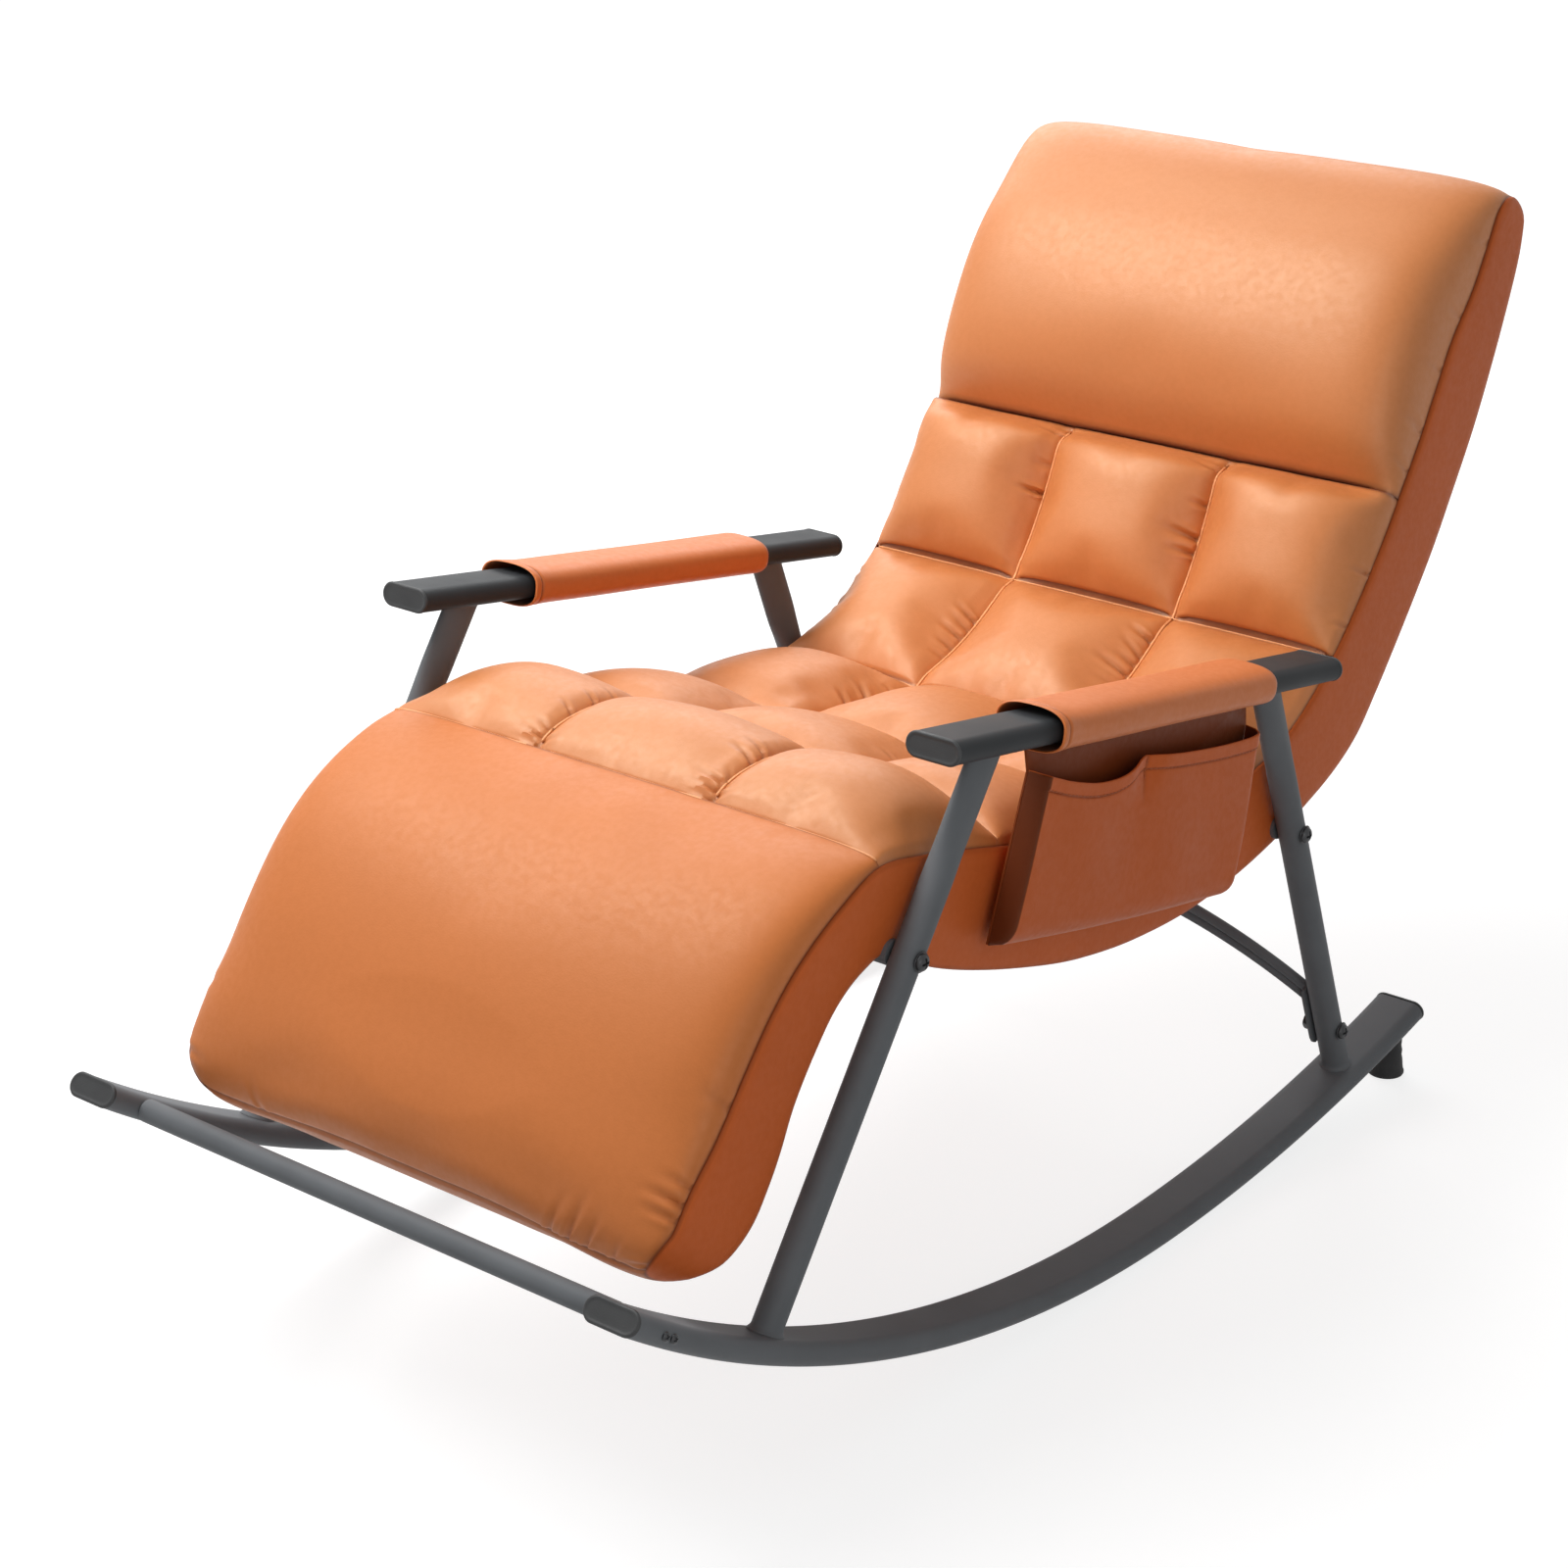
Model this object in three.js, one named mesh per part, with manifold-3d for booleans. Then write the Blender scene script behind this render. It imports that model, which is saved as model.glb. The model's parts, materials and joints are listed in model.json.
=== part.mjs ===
import * as THREE from 'three';
import { mergeVertices } from 'three/addons/utils/BufferGeometryUtils.js';
import Module from 'manifold-3d';

// Rocking lounge chair: a one-piece tufted body on a tubular frame with curved rockers.
// Millimetres, +Z up. The sitter faces -Y and the sitter's left hand is at +X.
// Places in the side plane are (y, z) from the rocker's lowest point, on the floor.

const wasm = await Module();
wasm.setup();

// Fits
const seatGap = 0.3;
const cutOverrun = 20;

// Side frames: flat-oval rockers and arms, round legs
const sideFrameSpacing = 568;
const flatTubeWidth = 52;
const flatTubeHeight = 21;
const flatTubeWall = 1.6;
const legDiameter = 26;
const legWall = 1.6;
const legPressedWidth = 19;
const legPressedDepth = 31;
const legPressedLength = 70;
const legTaperLength = 55;

// Rockers: a tight front arc and a flatter rear arc that meet at the lowest point
const frontArcRadius = 1240;
const rearArcRadius = 1860;
const rockerFrontReach = 727;
const rockerRearReach = 434;
const capLip = 3;
const capBevel = 1;
const capPlug = 12;
const plugGap = 0.5;
const capWall = 3;
const stripWidth = 24;
const stripThickness = 2;
const stripFrontLength = 270;
const stripRearLength = 50;
const footSetback = 19;
const footBaseRadius = 18;
const footNeckRadius = 13;
const footEdge = 2;

// Arms, sloping down to the back: their height above the knee seam, their fall, and the room
// between their rear ends and the body's back
const armRise = 90.8;
const armFall = 95;
const armRun = 575;
const armRearClearance = 81;
const frontLegTopSetback = 74;
const frontLegFootSetback = 167;
const rearLegTopSetback = 91;
const rearLegFootSetback = 117;

// Bolts through the legs, screws of the front tube and the tubes they hold
const braceBoltHeight = 95;
const boltDiameter = 8;
const boltHeadDiameter = 15;
const boltHeadHeight = 6;
const boltGrip = 10;
const nutWidth = 14;
const nutHeight = 7;
const crossTubeDiameter = 22;
const crossTubeWall = 1.6;
const screwDiameter = 4;
const screwHeadDiameter = 8;
const screwHeadHeight = 2.5;
const screwGrip = 8;
const screwSpacing = 11;
const frontTubeDiameter = 20;
const frontTubeSetback = 32;
const frontTubeEndLength = 12;

// Arched brace between the rear legs: two thin rods and a bent tab at each end
const braceRodDiameter = 10;
const braceRodSpacing = 12;
const braceEndHeight = 130;
const braceCrestHeight = 215;
const braceTabThickness = 4;
const braceTabWidth = 22;
const braceTabFootHeight = 76;

// Upholstered body
const bodySideClearance = 4.5;
const bodyLength = 1284;
const bodyHeight = 640;
const bodyFrontSetback = 48;
const bodyBaseHeight = 219;
const panelThickness = 2.5;
const foamDepth = 26;
const footRollRadius = 28;
const headRollRadius = 30;
const middleColumnWidth = 190;
const seamOpening = 0.6;

// Seat frame hidden in the body
const railDiameter = 20;
const railWall = 1.5;
const railInset = 26.5;
const railSectionLength = 57;
const frontTubeInset = 2;
const rearTubeInset = 14;
const strapThickness = 2.5;
const lugThickness = 6;
const lugDepth = 16;

// Rows of the padding: where each cross seam lies, how far the seam's middle stands up
// from the side seam, and how far each row puffs out between its seams
const rowSeamShares = [0.226, 0.3575, 0.4945, 0.6295, 0.75, 0.8355];
const rowSeamArches = [12, 16, 18, 20, 27, 46];
const rowPuffs = [48, 34, 34, 28, 26];
const headArch = 80;
const headShoulderArch = 42;
const headTopArch = 2;
const calfArch = 34;
const footArch = 5;
const rowSteps = 6;
const calfSteps = 9;
const headSteps = 9;
const rollSteps = 5;
const rollOpening = 6;

// Armrest sleeves and the pocket that hangs from the left one
const sleeveFrontSetback = 53;
const sleeveRearSetback = 27;
const sleeveThickness = 7;
const pocketSheet = 2.5;
const pocketDepth = 24;
const pocketBackOffset = 3;
const pocketDrop = 179;
const pocketSeamWidth = 5;

const bodyWidth = sideFrameSpacing - legDiameter - 2 * bodySideClearance;
const bodyFrontReach = rockerFrontReach - bodyFrontSetback;
const railSpacing = bodyWidth - 2 * railInset;
const footReach = rockerRearReach - footSetback;

const sides = { left: 1, right: -1 };
const chair = new THREE.Group();

const steel = { color: 0x3b3c3e, roughness: 0.45, metalness: 0.3 };
const plastic = { color: 0x2a2b2c, roughness: 0.6, metalness: 0 };
const rubber = { color: 0x1d1d1e, roughness: 0.85, metalness: 0 };
const leather = { color: 0xc96f3b, roughness: 0.5, metalness: 0 };
const webbing = { color: 0x2b2b2b, roughness: 0.9, metalness: 0 };
const bolt = { color: 0x2c2d2f, roughness: 0.4, metalness: 0.6 };

// Solids

function facingOut(geometry) {
  const positions = geometry.getAttribute('position');
  const [a, b, c] = [new THREE.Vector3(), new THREE.Vector3(), new THREE.Vector3()];
  let volume = 0;
  for (let i = 0; i < positions.count; i += 3) {
    a.fromBufferAttribute(positions, i);
    b.fromBufferAttribute(positions, i + 1);
    c.fromBufferAttribute(positions, i + 2);
    volume += a.dot(b.cross(c));
  }
  if (volume > 0) return geometry;
  for (let i = 0; i < positions.count; i += 3) {
    b.fromBufferAttribute(positions, i + 1);
    c.fromBufferAttribute(positions, i + 2);
    positions.setXYZ(i + 1, c.x, c.y, c.z);
    positions.setXYZ(i + 2, b.x, b.y, b.z);
  }
  return geometry;
}

const plain = (geometry) => (geometry.index ? geometry.toNonIndexed() : geometry.clone());

function solidOf(geometry, matrix = new THREE.Matrix4()) {
  const bare = new THREE.BufferGeometry();
  bare.setAttribute('position', plain(geometry).getAttribute('position'));
  bare.applyMatrix4(matrix);
  const merged = mergeVertices(bare, 1e-3);
  return new wasm.Manifold(new wasm.Mesh({
    numProp: 3,
    vertProperties: merged.getAttribute('position').array,
    triVerts: new Uint32Array(merged.index.array),
  }));
}

function geometryOf(solid) {
  const { vertProperties, triVerts } = solid.getMesh();
  const geometry = new THREE.BufferGeometry();
  geometry.setAttribute('position', new THREE.BufferAttribute(vertProperties, 3));
  geometry.setIndex(new THREE.BufferAttribute(triVerts, 1));
  return geometry.toNonIndexed();
}

function add(name, shape, material, matrix) {
  const geometry = shape instanceof THREE.BufferGeometry ? shape.clone() : geometryOf(shape);
  geometry.computeVertexNormals();
  const mesh = new THREE.Mesh(geometry, new THREE.MeshStandardMaterial(material));
  mesh.name = name;
  if (matrix) mesh.applyMatrix4(matrix);
  chair.add(mesh);
}

// A closed solid through rings of equally many points, with flat fans as its two ends.
function loft(rings) {
  const corners = [];
  const put = (...points) => points.forEach((p) => corners.push(p.x, p.y, p.z));
  const count = rings[0].length;
  for (let r = 0; r + 1 < rings.length; r++) {
    for (let i = 0; i < count; i++) {
      const j = (i + 1) % count;
      put(rings[r][i], rings[r][j], rings[r + 1][j]);
      put(rings[r][i], rings[r + 1][j], rings[r + 1][i]);
    }
  }
  const last = rings.length - 1;
  for (let i = 0; i < count / 2 - 1; i++) {
    const [a, b] = [i, i + 1];
    const [d, c] = [count - 1 - i, count - 2 - i];
    put(rings[0][a], rings[0][c], rings[0][b]);
    put(rings[0][a], rings[0][d], rings[0][c]);
    put(rings[last][a], rings[last][b], rings[last][c]);
    put(rings[last][a], rings[last][c], rings[last][d]);
  }
  const geometry = new THREE.BufferGeometry();
  geometry.setAttribute('position', new THREE.Float32BufferAttribute(corners, 3));
  return facingOut(geometry);
}

// Side-plane helpers: a flat outline in (y, z) becomes a slab between two x values.
function slab(outline, xFrom, xTo) {
  const shape = new THREE.Shape(outline);
  const geometry = new THREE.ExtrudeGeometry(shape, { depth: xTo - xFrom, bevelEnabled: false });
  const toSidePlane = new THREE.Matrix4().makeBasis(
    new THREE.Vector3(0, 1, 0), new THREE.Vector3(0, 0, 1), new THREE.Vector3(1, 0, 0),
  );
  geometry.applyMatrix4(toSidePlane);
  geometry.translate(xFrom, 0, 0);
  return facingOut(plain(geometry));
}

function lineAlongX(xFrom, xTo, y, z) {
  return new THREE.LineCurve3(new THREE.Vector3(xFrom, y, z), new THREE.Vector3(xTo, y, z));
}

function roundOutline(radius, segments = 16) {
  const points = [];
  for (let i = 0; i < segments; i++) {
    const angle = (i + 0.5) / segments * 2 * Math.PI;
    points.push(new THREE.Vector2(radius * Math.cos(angle), radius * Math.sin(angle)));
  }
  return points;
}

// Flat-oval outline: flat above and below, with half-round sides.
function flatOvalOutline(offset = 0, segments = 5) {
  const radius = flatTubeHeight / 2 + offset;
  const flat = (flatTubeWidth - flatTubeHeight) / 2;
  const points = [];
  for (const side of [1, -1]) {
    for (let i = 0; i <= segments; i++) {
      const angle = side * Math.PI * (i / segments - 1 / 2);
      const x = side * flat + radius * Math.cos(angle) * side;
      points.push(new THREE.Vector2(x, radius * Math.sin(angle) * side * side));
    }
  }
  return points;
}

function swept(outline, path, steps, bore) {
  const shape = new THREE.Shape(outline);
  if (bore) shape.holes.push(new THREE.Path(bore));
  const geometry = new THREE.ExtrudeGeometry(shape, { steps, extrudePath: path, bevelEnabled: false });
  return facingOut(plain(geometry));
}

// Turned part on the X axis, from a profile of [distance along X, radius] that starts and
// ends on the axis, or closes on itself.
function turnedOnX(profile, segments = 12) {
  const points = profile.map(([along, radius]) => new THREE.Vector2(radius, along));
  const geometry = new THREE.LatheGeometry(points, segments);
  geometry.rotateZ(-Math.PI / 2);
  return facingOut(plain(geometry));
}

// Body outline

function bodyPoint([lengthShare, heightShare]) {
  const reach = lengthShare * bodyLength - bodyFrontReach;
  return new THREE.Vector2(reach, bodyBaseHeight + heightShare * bodyHeight);
}

const footRollShare = [0.046, 0.0453];
const headRollShare = [0.975, 0.930];
const footRoll = bodyPoint(footRollShare);
const headRoll = bodyPoint(headRollShare);
const degrees = (angle) => THREE.MathUtils.degToRad(angle);
const rollPoint = (centre, radius, angle) => new THREE.Vector2(
  centre.x + radius * Math.cos(degrees(angle)), centre.y + radius * Math.sin(degrees(angle)),
);
const footRollAngles = [-90, -230];
const headRollAngles = [150, 0];

// Side seam from the foot roll up the calf, over the knee, along the seat and up the back
const seamShares = [
  [0.048, 0.122], [0.073, 0.173], [0.099, 0.239], [0.124, 0.298], [0.151, 0.345], [0.186, 0.386],
  [0.226, 0.416], [0.270, 0.403], [0.315, 0.381], [0.361, 0.356], [0.428, 0.323], [0.495, 0.295],
  [0.560, 0.277], [0.622, 0.267], [0.669, 0.280], [0.708, 0.311], [0.744, 0.361], [0.774, 0.419],
  [0.801, 0.481], [0.825, 0.544], [0.843, 0.598], [0.863, 0.658], [0.882, 0.725], [0.902, 0.794],
  [0.930, 0.864],
];
// Lower edge of the side, from the foot roll under the knee and seat and up behind the back
const undersideShares = [
  [0.055, 0.000], [0.082, 0.006], [0.104, 0.031], [0.120, 0.072], [0.131, 0.109], [0.144, 0.161],
  [0.164, 0.216], [0.185, 0.261], [0.210, 0.289], [0.237, 0.295], [0.280, 0.244], [0.339, 0.197],
  [0.412, 0.152], [0.463, 0.130], [0.514, 0.117], [0.575, 0.113], [0.637, 0.125], [0.692, 0.148],
  [0.727, 0.172], [0.766, 0.202], [0.798, 0.241], [0.823, 0.295], [0.848, 0.356], [0.874, 0.423],
  [0.895, 0.481], [0.915, 0.545], [0.943, 0.639], [0.965, 0.730], [0.984, 0.820], [0.995, 0.884],
];

const seamCurve = new THREE.SplineCurve([
  rollPoint(footRoll, footRollRadius, footRollAngles[1]),
  ...seamShares.map(bodyPoint),
  rollPoint(headRoll, headRollRadius, headRollAngles[0]),
]);
const undersideCurve = new THREE.SplineCurve([
  rollPoint(footRoll, footRollRadius, footRollAngles[0]),
  ...undersideShares.map(bodyPoint),
  rollPoint(headRoll, headRollRadius, headRollAngles[1]),
]);

// A place along the seam: its point and the direction out of the padding.
function seamSection(share) {
  const rim = seamCurve.getPointAt(share);
  const tangent = seamCurve.getTangentAt(share);
  return { rim, out: new THREE.Vector2(-tangent.y, tangent.x) };
}

// Share of the seam's length up to which a test of its points holds.
function seamShareWhile(test, from = 0) {
  let [low, high] = [from, 1];
  for (let i = 0; i < 40; i++) {
    const middle = (low + high) / 2;
    if (test(seamCurve.getPointAt(middle))) low = middle;
    else high = middle;
  }
  return low;
}

const rowSeams = rowSeamShares.map((share) => {
  const reach = bodyPoint([share, 0]).x;
  return seamShareWhile((point) => point.x < reach);
});
const [kneeSeam, , , lumbarSeam] = rowSeams;

const inward = (section, depth) => section.rim.clone().addScaledVector(section.out, -depth);

function outlineSamples(curve, from, to, count, offset = 0) {
  const points = [];
  for (let i = 0; i <= count; i++) {
    const share = THREE.MathUtils.lerp(from, to, i / count);
    const tangent = curve.getTangentAt(share);
    points.push(curve.getPointAt(share).add(new THREE.Vector2(-tangent.y * offset, tangent.x * offset)));
  }
  return points;
}

function rollSamples(centre, radius, [from, to], count) {
  const points = [];
  for (let i = 1; i < count; i++) {
    points.push(rollPoint(centre, radius, THREE.MathUtils.lerp(from, to, i / count)));
  }
  return points;
}

function gussetOutline() {
  return [
    ...outlineSamples(seamCurve, 0, 1, 44),
    ...rollSamples(headRoll, headRollRadius, headRollAngles, 5),
    ...outlineSamples(undersideCurve, 0, 1, 44).reverse(),
    ...rollSamples(footRoll, footRollRadius, footRollAngles, 5),
  ];
}

// Rocker

const rockerArc = (reach) => (reach < 0 ? frontArcRadius : rearArcRadius);
const rockerLift = stripThickness + seatGap;

// Height of a rocker's centre line, or of a line offset from it towards the arc's centre.
function rockerHeight(reach, offset = 0) {
  const radius = rockerArc(reach);
  const lineRadius = radius - flatTubeHeight / 2 - offset;
  return rockerLift + radius - Math.sqrt(lineRadius ** 2 - reach ** 2);
}

const rockerTilt = (reach) => Math.asin(reach / (rockerArc(reach) - flatTubeHeight / 2));

class RockerPath extends THREE.Curve {
  constructor(x, from, to, offset = 0) {
    super();
    Object.assign(this, { x, from, to, offset });
  }

  getPoint(t) {
    const reach = THREE.MathUtils.lerp(this.from, this.to, t);
    return new THREE.Vector3(this.x, reach, rockerHeight(reach, this.offset));
  }
}

const rockerFrames = (x, reach) => new THREE.Matrix4()
  .makeTranslation(x, reach, rockerHeight(reach))
  .multiply(new THREE.Matrix4().makeRotationX(rockerTilt(reach)));

const rockerSteps = 22;
const frontTubeReach = -rockerFrontReach + frontTubeSetback;
const frontTubeHeight = rockerHeight(frontTubeReach);

function rockerEnvelope(x, offset) {
  const path = new RockerPath(x, -rockerFrontReach, rockerRearReach);
  return solidOf(swept(flatOvalOutline(offset), path, rockerSteps));
}

function screwPlaces() {
  const tilt = rockerTilt(frontTubeReach);
  return [-1, 1].map((end) => new THREE.Vector2(
    frontTubeReach + end * screwSpacing / 2 * Math.cos(tilt),
    frontTubeHeight + end * screwSpacing / 2 * Math.sin(tilt),
  ));
}

function screwHole(place, xFrom, xTo) {
  const outline = roundOutline(screwDiameter / 2 + seatGap, 8);
  return solidOf(swept(outline, lineAlongX(xFrom, xTo, place.x, place.y), 1));
}

function addRocker(side, sign) {
  const x = sign * sideFrameSpacing / 2;
  const path = new RockerPath(x, -rockerFrontReach, rockerRearReach);
  const bore = flatOvalOutline(-flatTubeWall).reverse();
  let tube = solidOf(swept(flatOvalOutline(), path, rockerSteps, bore));
  for (const place of screwPlaces()) {
    tube = tube.subtract(screwHole(place, x - flatTubeWidth, x + flatTubeWidth));
  }
  add(`rocker_${side}`, tube, steel);

  const front = rockerFrames(x, -rockerFrontReach).multiply(new THREE.Matrix4().makeRotationX(Math.PI / 2));
  add(`rocker_front_cap_${side}`, endCap(), plastic, front);
  const rear = rockerFrames(x, rockerRearReach).multiply(new THREE.Matrix4().makeRotationX(-Math.PI / 2));
  add(`rocker_rear_cap_${side}`, endCap(), plastic, rear);

  const clear = -flatTubeHeight / 2 - seatGap - stripThickness / 2;
  const stripPath = new RockerPath(x, -stripFrontLength, stripRearLength, clear);
  const strip = [
    new THREE.Vector2(-stripWidth / 2, -stripThickness / 2),
    new THREE.Vector2(-stripWidth / 2, stripThickness / 2),
    new THREE.Vector2(stripWidth / 2, stripThickness / 2),
    new THREE.Vector2(stripWidth / 2, -stripThickness / 2),
  ];
  add(`rocker_strip_${side}`, swept(strip, stripPath, 10), rubber);

  const footHeight = rockerHeight(footReach);
  const profile = [
    [0, 0], [footBaseRadius - footEdge, 0], [footBaseRadius, footEdge],
    [footNeckRadius, footHeight - flatTubeHeight / 2], [footNeckRadius, footHeight], [0, footHeight],
  ].map(([radius, height]) => new THREE.Vector2(radius, height));
  const foot = facingOut(plain(new THREE.LatheGeometry(profile, 20).rotateX(Math.PI / 2)));
  const footSolid = solidOf(foot, new THREE.Matrix4().makeTranslation(x, footReach, 0));
  add(`rear_foot_${side}`, footSolid.subtract(rockerEnvelope(x, seatGap)), rubber);
}

// Plug for the end of a flat-oval tube: a lip over the wall and a hollow stem inside it.
// Its outer face looks along +Z and the tube's end is at z = 0.
function endCap() {
  const lip = new THREE.ExtrudeGeometry(new THREE.Shape(flatOvalOutline()), {
    depth: capLip - 2 * capBevel, bevelEnabled: true, bevelThickness: capBevel,
    bevelSize: capBevel, bevelOffset: -capBevel, bevelSegments: 1,
  });
  const stemShape = new THREE.Shape(flatOvalOutline(-flatTubeWall - plugGap));
  stemShape.holes.push(new THREE.Path(flatOvalOutline(-flatTubeWall - plugGap - capWall).reverse()));
  const stem = new THREE.ExtrudeGeometry(stemShape, { depth: capPlug + capLip / 2, bevelEnabled: false });
  const lipSolid = solidOf(lip, new THREE.Matrix4().makeTranslation(0, 0, seatGap + capBevel));
  const stemSolid = solidOf(stem, new THREE.Matrix4().makeTranslation(0, 0, -capPlug));
  return lipSolid.add(stemSolid);
}

// Arms and legs

const armFrontHeight = seamCurve.getPointAt(kneeSeam).y + armRise;
const armRearHeight = armFrontHeight - armFall;
const backSeam = seamShareWhile((point) => point.y < armRearHeight, lumbarSeam);
const armRearReach = seamCurve.getPointAt(backSeam).x - armRearClearance;
const armFrontReach = armRearReach - armRun;
const armSlope = Math.atan2(armRearHeight - armFrontHeight, armRearReach - armFrontReach);
const armHeight = (reach) => armFrontHeight + (reach - armFrontReach) * Math.tan(armSlope);

function armPath(x, from, to) {
  return new THREE.LineCurve3(
    new THREE.Vector3(x, from, armHeight(from)), new THREE.Vector3(x, to, armHeight(to)),
  );
}

function armEnvelope(x, offset) {
  const path = armPath(x, armFrontReach - cutOverrun, armRearReach + cutOverrun);
  return solidOf(swept(flatOvalOutline(offset), path, 1));
}

const legs = {
  front: { top: armFrontReach + frontLegTopSetback, foot: -rockerFrontReach + frontLegFootSetback },
  rear: { top: armRearReach - rearLegTopSetback, foot: rockerRearReach - rearLegFootSetback },
};

const legSamples = 2000;

// Point on a leg's centre line at a height.
function legPoint(leg, height) {
  const [topHeight, footHeight] = [armHeight(leg.top), rockerHeight(leg.foot)];
  const share = (height - footHeight) / (topHeight - footHeight);
  return new THREE.Vector2(THREE.MathUtils.lerp(leg.foot, leg.top, share), height);
}

// Place on a leg's centre line, a distance above the point where its upper part leaves the
// body's side downwards.
function legPlaceInBody(leg, inset) {
  const outline = gussetOutline();
  const isInside = (point) => {
    let inside = false;
    outline.forEach((a, i) => {
      const b = outline[(i + 1) % outline.length];
      if (a.y > point.y === b.y > point.y) return;
      if (point.x < a.x + (point.y - a.y) / (b.y - a.y) * (b.x - a.x)) inside = !inside;
    });
    return inside;
  };
  const [footHeight, topHeight] = [rockerHeight(leg.foot), armHeight(leg.top)];
  const heights = [];
  for (let i = 0; i <= legSamples; i++) {
    heights.push(THREE.MathUtils.lerp(topHeight, footHeight, i / legSamples));
  }
  const entry = heights.findIndex((height) => isInside(legPoint(leg, height)));
  const exit = heights.findIndex((height, i) => i > entry && !isInside(legPoint(leg, height)));
  return legPoint(leg, heights[exit] + inset);
}

const boltPlaces = {
  front: [legPlaceInBody(legs.front, frontTubeInset)],
  rear: [legPlaceInBody(legs.rear, rearTubeInset), legPoint(legs.rear, braceBoltHeight)],
};

// The leg's tube is round at its foot and pressed to an oval under the arm.
function legRings(x, leg, inset) {
  const foot = legPoint(leg, rockerHeight(leg.foot));
  const top = legPoint(leg, armHeight(leg.top));
  const along = top.clone().sub(foot);
  const length = along.length();
  along.normalize();
  const across = new THREE.Vector2(-along.y, along.x);
  const stations = [
    [0, legDiameter, legDiameter],
    [length - legPressedLength - legTaperLength, legDiameter, legDiameter],
    [length - legPressedLength - legTaperLength / 2, (legDiameter + legPressedWidth) / 2,
      (legDiameter + legPressedDepth) / 2],
    [length - legPressedLength, legPressedWidth, legPressedDepth],
    [length, legPressedWidth, legPressedDepth],
  ];
  return stations.map(([distance, width, depth]) => {
    const centre = foot.clone().addScaledVector(along, distance);
    return roundOutline(1, 16).map((p) => {
      const sideways = p.y * (depth / 2 - inset);
      return new THREE.Vector3(
        x + p.x * (width / 2 - inset), centre.x + across.x * sideways, centre.y + across.y * sideways,
      );
    });
  });
}

function boltHole(place, xFrom, xTo, diameter = boltDiameter) {
  const outline = roundOutline(diameter / 2 + seatGap, 12);
  return solidOf(swept(outline, lineAlongX(xFrom, xTo, place.x, place.y), 1));
}

function addLeg(name, side, sign) {
  const x = sign * sideFrameSpacing / 2;
  const leg = legs[name];
  let tube = solidOf(loft(legRings(x, leg, 0))).subtract(solidOf(loft(legRings(x, leg, legWall))));
  tube = tube.subtract(armEnvelope(x, seatGap)).subtract(rockerEnvelope(x, seatGap));
  for (const place of boltPlaces[name]) {
    tube = tube.subtract(boltHole(place, x - legDiameter, x + legDiameter));
  }
  add(`${name}_leg_${side}`, tube.decompose()[0], steel);
}

function addArm(side, sign) {
  const x = sign * sideFrameSpacing / 2;
  const path = armPath(x, armFrontReach, armRearReach);
  const tube = swept(flatOvalOutline(), path, 1, flatOvalOutline(-flatTubeWall).reverse());
  add(`arm_tube_${side}`, tube, steel);
  for (const [end, reach, turn] of [['front', armFrontReach, 1], ['rear', armRearReach, -1]]) {
    const place = new THREE.Matrix4().makeTranslation(x, reach, armHeight(reach))
      .multiply(new THREE.Matrix4().makeRotationX(armSlope))
      .multiply(new THREE.Matrix4().makeRotationX(turn * Math.PI / 2));
    add(`arm_${end}_cap_${side}`, endCap(), plastic, place);
  }
}

// Bolts and screws

// A dome-headed bolt from outside a side frame, its shank pointing to the chair's middle.
function addBolt(name, sign, place, headX, length) {
  const radius = boltHeadDiameter / 2;
  const profile = [
    [-length, 0], [-length, boltDiameter / 2], [0, boltDiameter / 2], [0, radius],
    [boltHeadHeight / 2, radius], [boltHeadHeight, radius * Math.SQRT1_2], [boltHeadHeight, 0],
  ];
  const turn = new THREE.Matrix4().makeRotationY(sign > 0 ? 0 : Math.PI);
  const matrix = new THREE.Matrix4().makeTranslation(sign * headX, place.x, place.y).multiply(turn);
  add(name, turnedOnX(profile), bolt, matrix);
}

function addNut(name, sign, place, faceX) {
  const bore = boltDiameter / 2 + seatGap;
  const outer = roundOutline(nutWidth / 2 / Math.cos(Math.PI / 6), 6);
  const path = lineAlongX(sign * (faceX - nutHeight), sign * faceX, place.x, place.y);
  add(name, swept(outer, path, 1, roundOutline(bore, 12).reverse()), bolt);
}

// Padding

const cushionHalfWidth = bodyWidth / 2 - panelThickness - seatGap;
const columnShare = middleColumnWidth / bodyWidth;
const halfColumnShares = [0, 0.12, 0.24, columnShare, 0.47, 0.6, 0.74, 0.87, 0.96, 1];
const columnShares = [...halfColumnShares.slice(1).reverse().map((s) => -s), ...halfColumnShares];

// Rounded rise from the side seams to the middle, and the puff of each of the three columns.
const edgeRise = (share) => Math.max(0, 1 - share ** 8) ** 0.35;
const bump = (share) => 1 - Math.abs(2 * share - 1) ** 2.5;

function columnPuff(share) {
  const s = Math.abs(share);
  if (s <= columnShare) return 1 - (s / columnShare) ** 2.5;
  return bump((s - columnShare) / (1 - columnShare));
}

// Rings across the body: the upper side stands up from the rim, the lower side is flat.
function paddedSolid(sections) {
  return loft(sections.map(({ rim, out, depth, arch, puff }) => {
    const at = (share, height) => new THREE.Vector3(
      share * cushionHalfWidth, rim.x + out.x * height, rim.y + out.y * height,
    );
    const upper = columnShares.map((s) => at(s, arch * edgeRise(s) + puff * columnPuff(s)));
    const lower = columnShares.map((s) => at(s, -depth)).reverse();
    return [...upper, ...lower];
  }));
}

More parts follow.
